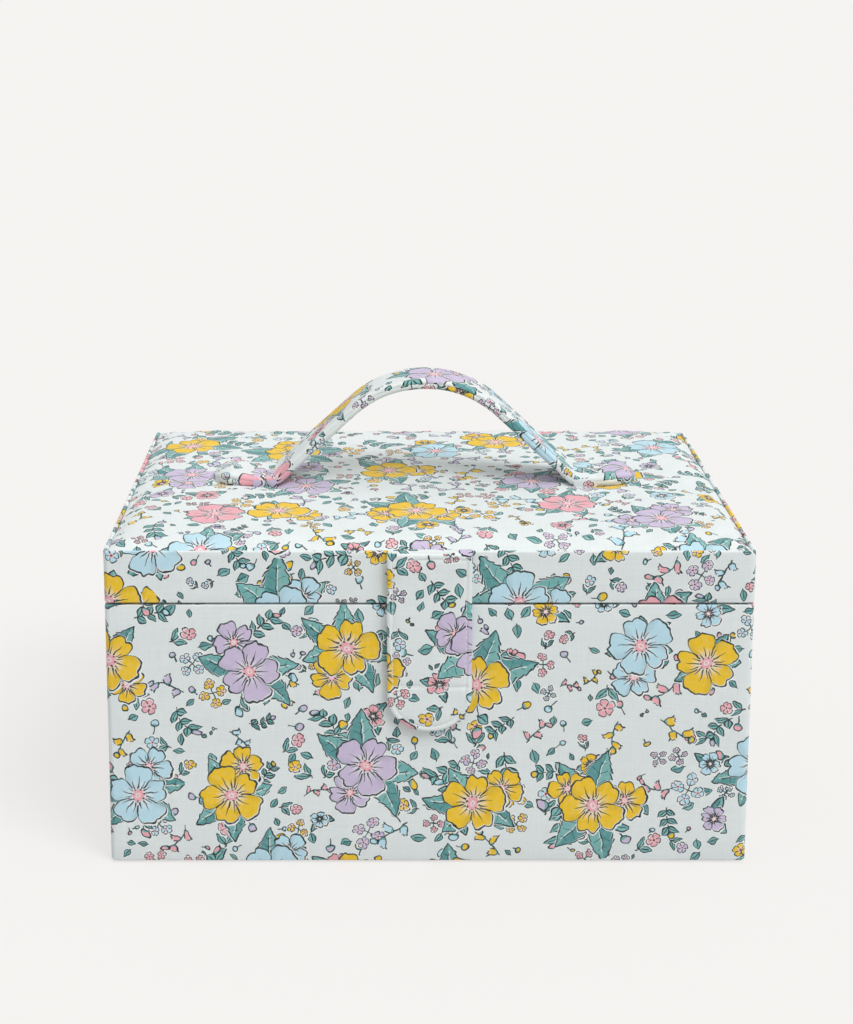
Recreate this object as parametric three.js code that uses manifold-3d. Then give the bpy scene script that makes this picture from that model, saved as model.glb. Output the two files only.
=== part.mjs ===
// Sewing box: boards wrapped in printed cotton, with a padded lid on a cloth hinge, a strap handle
// held by two cloth loops, a magnetic closure tab and a lift-out tray.
// Millimetres, +Z up, front towards -Y, origin at the middle of the underside.
import * as THREE from 'three';
import { mergeVertices } from 'three/addons/utils/BufferGeometryUtils.js';
import Module from 'manifold-3d';

const wasm = await Module();
wasm.setup();

// Driving dimensions of the whole box
const boxWidth = 260;
const boxDepth = 190;
const boxHeight = 133; // floor to the lid's top front edge
const lidHeight = 22; // seam to the lid's top front edge
const seamGap = 0.6; // between the two rims of the closed box
const boardThickness = 4;
const clothThickness = 0.8;
const glueLine = 0.3; // clearance between two layers that are glued or laid together
const cornerRadius = 4; // upright corners of the covered box
const clothEdgeRadius = 1; // cloth folded over a board's edge
const leastRadius = 0.4; // upright corners of the innermost layers

// Body
const bodyTurnUnder = 14; // cover cloth folded under the base
const bodyTurnIn = 10; // cover cloth folded over the rim
const baseClothMargin = 3; // base cloth set back from the outside
const floorPadThickness = 4;
const floorPadCrown = 1.5;
const ledgeThickness = 5; // panels at both ends that carry the tray
const bodyMagnetRadius = 6;
const bodyMagnetThickness = 2;

// Lid
const lidTurnIn = 3;
const lidTopEdgeRadius = 1.6;
const foamEdgeThickness = 1.5;
const lidCrown = 3.2; // rise of the padded top above its edge
const lidCrownRamp = 36; // distance from the edge over which the top rises
const liningPanelThickness = 3.5;
const liningPanelCrown = 1.5;
const padCrownRamp = 18; // the same distance on the pads inside

// Cloth hinge along the back
const hingeLength = 236;
const hingeGap = 1; // free cloth on each side of the seam
const hingeDrop = 18;
const hingeRise = 16;
const innerHingeDrop = 14;
const innerHingeRise = 6;

// Handle
const strapWidth = 25;
const strapClothThickness = 0.8;
const strapLiningThickness = 0.6;
const strapCoreThickness = 1;
const strapRise = 43.8; // the lid to the underside of the arch
const strapFlankAngle = THREE.MathUtils.degToRad(43);
const strapFootRadius = 8;
const strapLift = 3.2; // how far inside the loop the strap starts to lift
const strapEndReach = 28; // near edge of the loop to the strap's rounded end
const loopPlace = 65; // middle of the box to the near edge of the loop
const loopThickness = 1;
const loopWidth = 10.5;
const loopEase = 1.2; // room over the strap
const loopFootLength = 8;
const loopEdgeRadius = 1.4;

// Closure tab
const tabWidth = 34;
const tabLength = 74.5;
const tabEndHeight = 15; // height of the rounded lower end
const tabFaceThickness = 0.8;
const tabBackThickness = 0.6;
const tabCardThickness = 1.2;
const tabMagnetRadius = 6;
const tabMagnetPlace = 10; // lower end of the tab to the magnet's centre
const tabTopDrop = 0.3; // top of the tab below the lid's top edge

// Tray
const trayHeight = 30;
const trayWall = 1.6;
const trayFloor = 1.8;
const trayClearance = 1;
const trayRimDrop = 1; // tray rim below the body rim
const trayCornerRadius = 6;
const trayFrontRowShare = 0.36;
const trayColumnShares = [0.4, 0.3, 0.3];

// How finely the curves are divided
const cornerSteps = 5;
const edgeSteps = 2;
const crownShares = [0, 0.08, 0.2, 0.35, 0.55, 0.78, 1];
const footSteps = 4;
const archSteps = 9;
const tabEndSteps = 14;
const discSteps = 24;

const quarterTurn = Math.PI / 2;
const weldTolerance = glueLine / 1000;
const cutOverrun = boardThickness; // how far a cutting solid runs past what it cuts

// Levels, from the floor up
const coverFloor = clothThickness + glueLine;
const baseBoardFloor = coverFloor + clothThickness + glueLine;
const wallFloor = baseBoardFloor + boardThickness + glueLine;
const seam = boxHeight - lidHeight;
const bodyRim = seam - seamGap / 2;
const lidRim = seam + seamGap / 2;
const trayTop = bodyRim - trayRimDrop;
const trayBase = trayTop - trayHeight;
const foamFloor = boxHeight - clothThickness - glueLine - foamEdgeThickness;
const lidBoardTop = foamFloor - glueLine;
const lidBoardFloor = lidBoardTop - boardThickness;
const loopFootTop = lidBoardFloor - glueLine;
const loopFootFloor = loopFootTop - loopThickness;
const liningPanelTop = loopFootFloor - glueLine;
const strapFloor = boxHeight + lidCrown + glueLine;
const strapHalfLength = loopPlace + strapEndReach;
const strapThickness =
  strapClothThickness + glueLine + strapCoreThickness + glueLine + strapLiningThickness;

// Distances in from the outside of the box
const boardInset = clothThickness + glueLine;
const boardInnerInset = boardInset + boardThickness;
const liningInset = boardInnerInset + glueLine;
const roomInset = liningInset + clothThickness;
const panelInset = roomInset + glueLine;

const roomHalfX = boxWidth / 2 - roomInset;
const roomHalfY = boxDepth / 2 - roomInset;
const tabThickness = tabFaceThickness + glueLine + tabCardThickness + glueLine + tabBackThickness;
const tabBackFace = -boxDepth / 2 - glueLine;
const tabFrontFace = tabBackFace - tabThickness;
const tabTop = boxHeight - tabTopDrop;
const tabBottom = tabTop - tabLength;
const tabMagnetHeight = tabBottom + tabMagnetPlace;

function finish(color, roughness, metalness = 0) {
  return new THREE.MeshStandardMaterial({ color, roughness, metalness });
}

const printedCotton = () => finish('#d9e0dc', 0.9);
const plainCotton = () => finish('#e9e4da', 0.92);
const greyboard = () => finish('#a89f92', 0.95);
const foam = () => finish('#f2efe6', 0.98);
const magnetPlate = () => finish('#b9bcc0', 0.3, 0.9);
const frostedPlastic = () => finish('#e6eef0', 0.35);
const stripPlastic = () => finish('#dcdcd8', 0.6);

// Points of a rounded rectangle, counter-clockwise from its right-hand front corner
function roundedOutline(halfX, halfY, radius) {
  const points = [];
  const corners = [[1, -1], [1, 1], [-1, 1], [-1, -1]];
  corners.forEach(([sideX, sideY], corner) => {
    for (let step = 0; step <= cornerSteps; step += 1) {
      const angle = (corner - 1 + step / cornerSteps) * quarterTurn;
      const x = sideX * (halfX - radius) + radius * Math.cos(angle);
      const y = sideY * (halfY - radius) + radius * Math.sin(angle);
      points.push([x, y]);
    }
  });
  return points;
}

// Six times the volume inside a closed mesh, negative when its faces point in
function signedVolume(positions, index) {
  const corners = [0, 1, 2].map(() => new THREE.Vector3());
  let total = 0;
  for (let i = 0; i < index.length; i += 3) {
    corners.forEach((corner, k) => corner.fromArray(positions, 3 * index[i + k]));
    total += corners[0].dot(corners[1].clone().cross(corners[2]));
  }
  return total;
}

// A closed skin over rings with equal counts of points. A joined skin runs back to its first ring,
// and any other has its two end rings filled.
function loft(rings, joined = false) {
  const count = rings[0].length;
  const positions = rings.flat(2);
  const index = [];
  const bands = joined ? rings.length : rings.length - 1;
  for (let band = 0; band < bands; band += 1) {
    const low = band * count;
    const high = ((band + 1) % rings.length) * count;
    for (let i = 0; i < count; i += 1) {
      const next = (i + 1) % count;
      index.push(low + i, low + next, high + next);
      index.push(low + i, high + next, high + i);
    }
  }
  const ends = joined ? [] : [0, rings.length - 1];
  ends.forEach((ring) => {
    const centre = positions.length / 3;
    positions.push(0, 0, rings[ring][0][2]);
    for (let i = 0; i < count; i += 1) {
      const here = ring * count + i;
      const next = ring * count + ((i + 1) % count);
      index.push(...(ring === 0 ? [centre, next, here] : [centre, here, next]));
    }
  });
  if (signedVolume(positions, index) < 0) {
    index.reverse();
  }
  const geometry = new THREE.BufferGeometry();
  geometry.setAttribute('position', new THREE.Float32BufferAttribute(positions, 3));
  geometry.setIndex(index);
  geometry.computeVertexNormals();
  return geometry;
}

// Rings round the box from a profile of [inset from the outside, height] points
function ringsRoundBox(profile) {
  return profile.map(([inset, z]) => {
    const radius = Math.max(cornerRadius - inset, leastRadius);
    const outline = roundedOutline(boxWidth / 2 - inset, boxDepth / 2 - inset, radius);
    return outline.map(([x, y]) => [x, y, z]);
  });
}

// Points of an arc in a profile, with angles in quarter turns from the inward direction
function edgeArc(inset, z, radius, startQuarter, endQuarter) {
  const points = [];
  for (let step = 0; step <= edgeSteps; step += 1) {
    const turned = startQuarter + (endQuarter - startQuarter) * (step / edgeSteps);
    const angle = turned * quarterTurn;
    points.push([inset + radius * Math.cos(angle), z + radius * Math.sin(angle)]);
  }
  return points;
}

// Profile of a padded face that rises from its edge to the middle, up or down
function crownProfile(edgeInset, edgeZ, crown, ramp) {
  return crownShares.map((share) => [
    edgeInset + share * ramp,
    edgeZ + crown * Math.sin(share * quarterTurn),
  ]);
}

function shapeFrom(points) {
  return new THREE.Shape(points.map(([x, y]) => new THREE.Vector2(x, y)));
}

// A plate whose outline lies in plan, between two heights
function plate(outline, low, high) {
  const settings = { depth: high - low, bevelEnabled: false };
  return new THREE.ExtrudeGeometry(shapeFrom(outline), settings).translate(0, 0, low);
}

// A plate whose outline of [x, z] points stands upright, between two depths
function uprightPlate(outline, front, back) {
  const settings = { depth: back - front, bevelEnabled: false };
  const geometry = new THREE.ExtrudeGeometry(shapeFrom(outline), settings);
  return geometry.rotateX(quarterTurn).translate(0, back, 0);
}

// A plate whose outline of [y, z] points stands across the box, between two places along it
function crossPlate(outline, left, right) {
  const settings = { depth: right - left, bevelEnabled: false };
  const geometry = new THREE.ExtrudeGeometry(shapeFrom(outline), settings);
  return geometry.rotateX(quarterTurn).rotateZ(quarterTurn).translate(left, 0, 0);
}

function block(low, high) {
  const size = high.map((value, axis) => value - low[axis]);
  const middle = high.map((value, axis) => (value + low[axis]) / 2);
  return new THREE.BoxGeometry(...size).translate(...middle);
}

// A disc that lies against the front, between two depths
function frontDisc(radius, height, front, back) {
  const geometry = new THREE.CylinderGeometry(radius, radius, back - front, discSteps);
  return geometry.translate(0, (front + back) / 2, height);
}

function solidFrom(geometry) {
  const bare = geometry.clone();
  bare.deleteAttribute('normal');
  bare.deleteAttribute('uv');
  const merged = mergeVertices(bare, weldTolerance);
  const mesh = new wasm.Mesh({
    numProp: 3,
    vertProperties: new Float32Array(merged.attributes.position.array),
    triVerts: new Uint32Array(merged.index.array),
  });
  return new wasm.Manifold(mesh);
}

function geometryFrom(solid) {
  const mesh = solid.getMesh();
  const geometry = new THREE.BufferGeometry();
  geometry.setAttribute('position', new THREE.BufferAttribute(mesh.vertProperties, 3));
  geometry.setIndex(new THREE.BufferAttribute(mesh.triVerts, 1));
  geometry.computeVertexNormals();
  return geometry;
}

function cut(geometry, tools) {
  const start = solidFrom(geometry);
  return geometryFrom(tools.reduce((solid, tool) => solid.subtract(solidFrom(tool)), start));
}

function common(geometry, other) {
  return geometryFrom(solidFrom(geometry).intersect(solidFrom(other)));
}

const box = new THREE.Group();

function addPiece(name, geometry, material) {
  const mesh = new THREE.Mesh(geometry, material);
  mesh.name = name;
  box.add(mesh);
  return mesh;
}

// Four boards set round the box: the front and back run the full width, the sides fit between
function wallBoards(low, high) {
  const radius = cornerRadius - boardInset;
  const outerX = boxWidth / 2 - boardInset;
  const outerY = boxDepth / 2 - boardInset;
  const innerX = boxWidth / 2 - boardInnerInset;
  const innerY = boxDepth / 2 - boardInnerInset;
  const whole = plate(roundedOutline(outerX, outerY, radius), low, high);
  const under = low - cutOverrun;
  const over = high + cutOverrun;
  const sideY = innerY - glueLine;
  return {
    front: common(whole, block([-boxWidth, -boxDepth, under], [boxWidth, -innerY, over])),
    back: common(whole, block([-boxWidth, innerY, under], [boxWidth, boxDepth, over])),
    left: block([-outerX, -sideY, low], [-innerX, sideY, high]),
    right: block([innerX, -sideY, low], [outerX, sideY, high]),
  };
}

function fullBoard(low, high) {
  const halfX = boxWidth / 2 - boardInset;
  const halfY = boxDepth / 2 - boardInset;
  return plate(roundedOutline(halfX, halfY, cornerRadius - boardInset), low, high);
}

// Carcase of the body, with a blind pocket for the magnet in the front board
function addBodyBoards() {
  const walls = wallBoards(wallFloor, bodyRim - boardInset);
  const pocketFloor = -boxDepth / 2 + boardInset + bodyMagnetThickness + glueLine;
  const pocketRadius = bodyMagnetRadius + glueLine;
  const pocketMouth = -boxDepth / 2 - cutOverrun;
  const pocket = frontDisc(pocketRadius, tabMagnetHeight, pocketMouth, pocketFloor);
  walls.front = cut(walls.front, [pocket]);
  const base = fullBoard(baseBoardFloor, baseBoardFloor + boardThickness);
  addPiece('body_base_board', base, greyboard());
  Object.entries(walls).forEach(([side, geometry]) => {
    addPiece(`body_${side}_board`, geometry, greyboard());
  });
  const magnetFront = -boxDepth / 2 + boardInset;
  const magnetBack = magnetFront + bodyMagnetThickness;
  const magnet = frontDisc(bodyMagnetRadius, tabMagnetHeight, magnetFront, magnetBack);
  addPiece('body_magnet', magnet, magnetPlate());
}

// Printed cloth round the four sides, folded under the base and over the rim
function addBodyCloth() {
  const profile = [
    [bodyTurnUnder, coverFloor],
    ...edgeArc(clothEdgeRadius, coverFloor + clothEdgeRadius, clothEdgeRadius, 3, 2),
    ...edgeArc(clothEdgeRadius, bodyRim - clothEdgeRadius, clothEdgeRadius, 2, 1),
    ...edgeArc(roomInset - clothEdgeRadius, bodyRim - clothEdgeRadius, clothEdgeRadius, 1, 0),
    [roomInset, bodyRim - bodyTurnIn],
    [liningInset, bodyRim - bodyTurnIn],
    [liningInset, bodyRim - clothThickness],
    [clothThickness, bodyRim - clothThickness],
    [clothThickness, coverFloor + clothThickness],
    [bodyTurnUnder, coverFloor + clothThickness],
  ];
  addPiece('body_cover_cloth', loft(ringsRoundBox(profile), true), printedCotton());

  const liningTop = bodyRim - bodyTurnIn - glueLine;
  const liningProfile = [
    [liningInset, wallFloor],
    [liningInset, liningTop],
    [roomInset, liningTop],
    [roomInset, wallFloor],
  ];
  addPiece('body_lining_cloth', loft(ringsRoundBox(liningProfile), true), plainCotton());

  const baseProfile = [
    [baseClothMargin, 0],
    [baseClothMargin, clothThickness],
  ];
  addPiece('base_cloth', loft(ringsRoundBox(baseProfile)), plainCotton());
}

// Padded floor between the two end panels that carry the tray
function addBodyInside() {
  const panelTop = trayBase - glueLine;
  const outer = roomHalfX - glueLine;
  const inner = outer - ledgeThickness;
  const halfY = roomHalfY - glueLine;
  const left = block([-outer, -halfY, wallFloor], [-inner, halfY, panelTop]);
  const right = block([inner, -halfY, wallFloor], [outer, halfY, panelTop]);
  addPiece('tray_panel_left', left, plainCotton());
  addPiece('tray_panel_right', right, plainCotton());

  const padHalfX = inner - glueLine;
  const padEdge = wallFloor + floorPadThickness;
  const rise = crownProfile(0, padEdge, floorPadCrown, padCrownRamp);
  const rings = [[0, wallFloor], ...rise].map(([inset, z]) => {
    const outline = roundedOutline(padHalfX - inset, halfY - inset, leastRadius);
    return outline.map(([x, y]) => [x, y, z]);
  });
  addPiece('floor_pad', loft(rings), plainCotton());
}

// Two slots through the lid for each loop's legs
function loopSlots() {
  const inner = strapWidth / 2 + glueLine;
  const legRoom = loopThickness + 2 * glueLine;
  const low = loopFootTop - cutOverrun;
  const high = strapFloor + cutOverrun;
  const nearX = loopPlace - glueLine;
  const farX = loopPlace + loopWidth + glueLine;
  const slots = [];
  [-1, 1].forEach((side) => {
    [-1, 1].forEach((end) => {
      const xs = [side * nearX, side * farX].sort((a, b) => a - b);
      const ys = [end * (inner - glueLine), end * (inner - glueLine + legRoom)].sort((a, b) => a - b);
      slots.push(block([xs[0], ys[0], low], [xs[1], ys[1], high]));
    });
  });
  return slots;
}

function addLidBoards(slots) {
  const top = fullBoard(lidBoardFloor, lidBoardTop);
  addPiece('lid_top_board', cut(top, slots), greyboard());
  const walls = wallBoards(lidRim + boardInset, lidBoardFloor - glueLine);
  Object.entries(walls).forEach(([side, geometry]) => {
    addPiece(`lid_${side}_board`, geometry, greyboard());
  });
}

// Crowned foam sheet and the printed cloth drawn over it and over the lid's sides
function addLidCover(slots) {
  const clothUnder = boxHeight - clothThickness;
  const foamTop = clothUnder - glueLine;
  const crownAt = (z) => crownProfile(lidTopEdgeRadius, z, lidCrown, lidCrownRamp);
  const foamProfile = [
    [boardInset, foamFloor],
    [boardInset, foamTop],
    ...crownAt(foamTop),
  ];
  addPiece('lid_foam_pad', cut(loft(ringsRoundBox(foamProfile)), slots), foam());

  const edgeZ = lidRim + clothEdgeRadius;
  const profile = [
    ...crownAt(boxHeight).slice(1).reverse(),
    ...edgeArc(lidTopEdgeRadius, boxHeight - lidTopEdgeRadius, lidTopEdgeRadius, 1, 2),
    ...edgeArc(clothEdgeRadius, edgeZ, clothEdgeRadius, 2, 3),
    ...edgeArc(roomInset - clothEdgeRadius, edgeZ, clothEdgeRadius, 3, 4),
    [roomInset, lidRim + lidTurnIn],
    [liningInset, lidRim + lidTurnIn],
    [liningInset, lidRim + clothThickness],
    [clothThickness, lidRim + clothThickness],
    [clothThickness, clothUnder],
    ...crownAt(clothUnder),
  ];
  addPiece('lid_cover_cloth', cut(loft(ringsRoundBox(profile)), slots), printedCotton());
}

// Plain lining inside the lid's sides and the padded panel under its top
function addLidInside() {
  const liningFloor = lidRim + lidTurnIn + glueLine;
  const liningProfile = [
    [liningInset, liningFloor],
    [liningInset, loopFootTop],
    [roomInset, loopFootTop],
    [roomInset, liningFloor],
  ];
  addPiece('lid_lining_cloth', loft(ringsRoundBox(liningProfile), true), plainCotton());

  const panelEdge = liningPanelTop - liningPanelThickness;
  const panelProfile = [
    [panelInset, liningPanelTop],
    ...crownProfile(panelInset, panelEdge, -liningPanelCrown, padCrownRamp),
  ];
  addPiece('lid_lining_panel', loft(ringsRoundBox(panelProfile)), plainCotton());
}

// Strips of cloth glued across the seam at the back, outside and inside
function addHinge() {
  const halfX = hingeLength / 2;
  const outerFront = boxDepth / 2 + glueLine;
  const outerBack = outerFront + clothThickness;
  const innerBack = boxDepth / 2 - panelInset;
  const innerFront = innerBack - clothThickness;
  const lower = seam - hingeGap;
  const upper = seam + hingeGap;
  const strips = [
    ['hinge_cloth_lower', outerFront, outerBack, lower - hingeDrop, lower, printedCotton()],
    ['hinge_cloth_upper', outerFront, outerBack, upper, upper + hingeRise, printedCotton()],
    ['inner_hinge_lower', innerFront, innerBack, lower - innerHingeDrop, lower, plainCotton()],
    ['inner_hinge_upper', innerFront, innerBack, upper, upper + innerHingeRise, plainCotton()],
  ];
  strips.forEach(([name, front, back, low, high, material]) => {
    addPiece(name, block([-halfX, front, low], [halfX, back, high]), material);
  });
}

// Underside of the strap from its right-hand end to the top of the arch, as places with slopes
function strapLine() {
  const footX = loopPlace + strapLift;
  const across = footX * Math.sin(strapFlankAngle) - strapRise * Math.cos(strapFlankAngle);
  const crownRadius = across / (1 - Math.cos(strapFlankAngle)) - strapFootRadius;
  const places = [{ x: strapHalfLength, z: strapFloor, slope: 0 }];
  for (let step = 0; step <= footSteps; step += 1) {
    const slope = strapFlankAngle * (step / footSteps);
    const x = footX - strapFootRadius * Math.sin(slope);
    const z = strapFloor + strapFootRadius * (1 - Math.cos(slope));
    places.push({ x, z, slope });
  }
  for (let step = 0; step <= archSteps; step += 1) {
    const slope = strapFlankAngle * (1 - step / archSteps);
    const x = crownRadius * Math.sin(slope);
    const z = strapFloor + strapRise - crownRadius * (1 - Math.cos(slope));
    places.push({ x, z, slope });
  }
  return places;
}

// The strap's curve at a distance above its underside, from end to end
function strapCurve(rise) {
  const half = strapLine().map(({ x, z, slope }) => [
    x + rise * Math.sin(slope),
    z + rise * Math.cos(slope),
  ]);
  const mirrored = half.slice(0, -1).reverse().map(([x, z]) => [-x, z]);
  return [...half, ...mirrored];
}

// One layer of the strap between two rises, set in from its edges, with rounded ends
function strapLayer(low, high, inset) {
  const outline = [...strapCurve(low), ...strapCurve(high).reverse()];
  const halfWidth = strapWidth / 2 - inset;
  const band = uprightPlate(outline, -halfWidth, halfWidth);
  const plan = roundedOutline(strapHalfLength - inset, halfWidth, halfWidth - leastRadius);
  const top = strapFloor + strapRise + strapThickness + cutOverrun;
  return common(band, plate(plan, strapFloor - cutOverrun, top));
}

// Cloth over a springy strip, closed below by a plain strip of cloth
function addStrap() {
  const inside = strapClothThickness + glueLine;
  const clothUnder = strapThickness - strapClothThickness;
  const hollow = strapLayer(-leastRadius, clothUnder, strapClothThickness);
  const cover = cut(strapLayer(0, strapThickness, 0), [hollow]);
  addPiece('handle_cover_cloth', cover, printedCotton());
  addPiece('handle_under_cloth', strapLayer(0, strapLiningThickness, inside), printedCotton());
  const coreFloor = strapLiningThickness + glueLine;
  const core = strapLayer(coreFloor, coreFloor + strapCoreThickness, inside);
  addPiece('handle_core', core, stripPlastic());
}

// A loop over the strap whose legs pass through the lid and turn out under its board
function loopOutline() {
  const inner = strapWidth / 2 + glueLine;
  const outer = inner + loopThickness;
  const foot = outer + loopFootLength;
  const under = strapFloor + strapThickness + loopEase;
  const top = under + loopThickness;
  const right = [
    [inner, under],
    [inner, loopFootFloor],
    [foot, loopFootFloor],
    [foot, loopFootTop],
    [outer, loopFootTop],
  ];
  for (let step = 0; step <= cornerSteps; step += 1) {
    const angle = quarterTurn * (step / cornerSteps);
    const y = outer - loopEdgeRadius + loopEdgeRadius * Math.cos(angle);
    const z = top - loopEdgeRadius + loopEdgeRadius * Math.sin(angle);
    right.push([y, z]);
  }
  const left = right.map(([y, z]) => [-y, z]).reverse();
  return [...right, ...left];
}

function addLoops() {
  const far = loopPlace + loopWidth;
  const right = crossPlate(loopOutline(), loopPlace, far);
  const left = crossPlate(loopOutline(), -far, -loopPlace);
  addPiece('handle_loop_left', left, printedCotton());
  addPiece('handle_loop_right', right, printedCotton());
}

// Front view of the tab: straight sides and a half-oval lower end
function tabOutline(inset) {
  const halfWidth = tabWidth / 2 - inset;
  const endHeight = tabEndHeight - inset;
  const endZ = tabBottom + tabEndHeight;
  const points = [
    [halfWidth, tabTop - inset],
    [-halfWidth, tabTop - inset],
  ];
  for (let step = 0; step <= tabEndSteps; step += 1) {
    const angle = 2 * quarterTurn * (1 + step / tabEndSteps);
    points.push([halfWidth * Math.cos(angle), endZ + endHeight * Math.sin(angle)]);
  }
  return points;
}

// Closure tab: cloth folded round a card with a magnet let into it, lined at the back
function addTab() {
  const inside = tabFaceThickness + glueLine;
  const faceBack = tabFrontFace + tabFaceThickness;
  const cardFront = faceBack + glueLine;
  const cardBack = cardFront + tabCardThickness;
  const liningFront = cardBack + glueLine;
  const hollow = uprightPlate(tabOutline(tabFaceThickness), faceBack, tabBackFace + glueLine);
  const face = cut(uprightPlate(tabOutline(0), tabFrontFace, tabBackFace), [hollow]);
  addPiece('tab_face_cloth', face, printedCotton());

  const hole = frontDisc(tabMagnetRadius + glueLine, tabMagnetHeight, faceBack, liningFront);
  const card = cut(uprightPlate(tabOutline(inside), cardFront, cardBack), [hole]);
  addPiece('tab_card', card, greyboard());
  const magnet = frontDisc(tabMagnetRadius, tabMagnetHeight, cardFront, cardBack);
  addPiece('tab_magnet', magnet, magnetPlate());

  const lining = uprightPlate(tabOutline(inside), liningFront, tabBackFace);
  addPiece('tab_back_cloth', lining, printedCotton());
}

// Moulded tray with a long front compartment and a row of shorter ones behind it
function addTray() {
  const halfX = roomHalfX - trayClearance;
  const halfY = roomHalfY - glueLine - clothThickness - trayClearance;
  const pocketFloor = trayBase + trayFloor;
  const pocketTop = trayTop + cutOverrun;
  const pocketRadius = trayCornerRadius - trayWall;
  const pocketAt = (left, right, front, back) => {
    const outline = roundedOutline((right - left) / 2, (back - front) / 2, pocketRadius);
    const pocket = plate(outline, pocketFloor, pocketTop);
    return pocket.translate((left + right) / 2, (front + back) / 2, 0);
  };
  const insideX = halfX - trayWall;
  const insideY = halfY - trayWall;
  const rowLine = -insideY + 2 * insideY * trayFrontRowShare;
  const pockets = [pocketAt(-insideX, insideX, -insideY, rowLine)];
  const rowWidth = 2 * insideX - (trayColumnShares.length - 1) * trayWall;
  let left = -insideX;
  trayColumnShares.forEach((share) => {
    const right = left + rowWidth * share;
    pockets.push(pocketAt(left, right, rowLine + trayWall, insideY));
    left = right + trayWall;
  });
  const block = plate(roundedOutline(halfX, halfY, trayCornerRadius), trayBase, trayTop);
  addPiece('tray', cut(block, pockets), frostedPlastic());
}

addBodyBoards();
addBodyCloth();
addBodyInside();
const slots = loopSlots();
addLidBoards(slots);
addLidCover(slots);
addLidInside();
addHinge();
addStrap();
addLoops();
addTab();
addTray();

export default box;
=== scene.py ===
import math

import bmesh
import bpy
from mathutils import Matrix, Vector, noise
from mathutils.bvhtree import BVHTree


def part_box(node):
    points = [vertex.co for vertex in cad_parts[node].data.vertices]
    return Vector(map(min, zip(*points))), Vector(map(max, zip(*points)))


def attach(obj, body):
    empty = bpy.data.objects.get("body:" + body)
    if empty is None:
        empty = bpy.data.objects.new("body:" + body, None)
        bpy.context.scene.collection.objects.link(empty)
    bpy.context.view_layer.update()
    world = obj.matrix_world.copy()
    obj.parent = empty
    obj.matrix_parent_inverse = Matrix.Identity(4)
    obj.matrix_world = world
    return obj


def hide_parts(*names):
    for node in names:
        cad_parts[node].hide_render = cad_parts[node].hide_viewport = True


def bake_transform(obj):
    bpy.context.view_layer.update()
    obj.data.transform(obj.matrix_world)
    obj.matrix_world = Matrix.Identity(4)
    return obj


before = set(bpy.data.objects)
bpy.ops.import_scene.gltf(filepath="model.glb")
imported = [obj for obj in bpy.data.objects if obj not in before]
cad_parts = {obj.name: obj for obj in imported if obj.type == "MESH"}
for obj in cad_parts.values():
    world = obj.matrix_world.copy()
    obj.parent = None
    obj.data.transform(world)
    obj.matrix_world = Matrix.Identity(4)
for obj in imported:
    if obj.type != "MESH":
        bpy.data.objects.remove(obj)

scene = bpy.context.scene
scene.view_settings.view_transform = "Standard"
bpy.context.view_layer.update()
mm = 0.001

# The camera stands a little left of the box's middle and above its lid, and looks down on it.
# Its lens is shifted so that the upright edges stay nearly parallel, as in the photograph.
camera_place = (-19.6 * mm, -829.6 * mm, 371.1 * mm)
camera_dip = math.radians(10.75)
camera_shift = (0.045, -0.2)
film_width, lens_length = 36, 67.84
camera = bpy.data.objects.new("camera", bpy.data.cameras.new("camera"))
bpy.context.collection.objects.link(camera)
camera.location = camera_place
camera.rotation_euler = (math.pi / 2 - camera_dip, 0, 0)
camera.data.sensor_width, camera.data.lens = film_width, lens_length
camera.data.shift_x, camera.data.shift_y = camera_shift
scene.camera = camera

# The box stands on a wide pale floor, under an even sky and one broad soft lamp at the front
# right. Floor and sky show the camera the same off-white, and the floor keeps the shadow.
backdrop_shade = (0.913, 0.896, 0.879, 1)
floor_bounce = (0.6, 0.6, 0.6, 1)
floor_glow = 0.74
floor_lit = 0.225
floor_seen = tuple(floor_lit * part for part in backdrop_shade[:3]) + (1,)
floor_size = 24
floor_drop = 0.1 * mm
sky_shade = (1, 1, 1, 1)
sky_low, sky_rise = 0.3, 0.67
lamp_strength = 1.77
lamp_spread = math.radians(30)
lamp_height = math.radians(50)
lamp_side = math.radians(44)


def sum_of(operation):
    """One of the shader's sums, for readings."""
    return lambda reading, *others: reading.work(operation, *others)


class Reading:
    """A number in a shader tree. Sums on readings add the nodes that work them out."""

    __add__ = __radd__ = sum_of("ADD")
    __sub__ = sum_of("SUBTRACT")
    __mul__ = __rmul__ = sum_of("MULTIPLY")
    __truediv__ = sum_of("DIVIDE")
    __pow__ = sum_of("POWER")
    __abs__ = sum_of("ABSOLUTE")
    fraction = sum_of("FRACT")
    whole = sum_of("FLOOR")
    sine = sum_of("SINE")
    cosine = sum_of("COSINE")
    lesser = sum_of("MINIMUM")
    greater = sum_of("MAXIMUM")
    above = sum_of("GREATER_THAN")

    def __init__(self, socket):
        self.socket = socket
        self.tree = socket.id_data

    def work(self, operation, *others, clamp=False):
        sum_node = self.tree.nodes.new("ShaderNodeMath")
        sum_node.operation = operation
        sum_node.use_clamp = clamp
        for value, place in zip((self, *others), sum_node.inputs):
            link(value, place)
        return Reading(sum_node.outputs[0])

    def __rsub__(self, other):
        return self.work("MULTIPLY_ADD", -1, other)

    def held(self):
        return self.work("ADD", 0, clamp=True)


def link(source, socket):
    """Leads a reading, a colour or a place to a socket, or sets the socket to a plain value."""
    if isinstance(source, Reading):
        source = source.socket
    if isinstance(source, bpy.types.NodeSocket):
        socket.id_data.links.new(source, socket)
    else:
        socket.default_value = source


def axes_of(place):
    """A place's three readings, one along each axis."""
    apart = place.id_data.nodes.new("ShaderNodeSeparateXYZ")
    link(place, apart.inputs[0])
    return [Reading(socket) for socket in apart.outputs]


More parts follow.
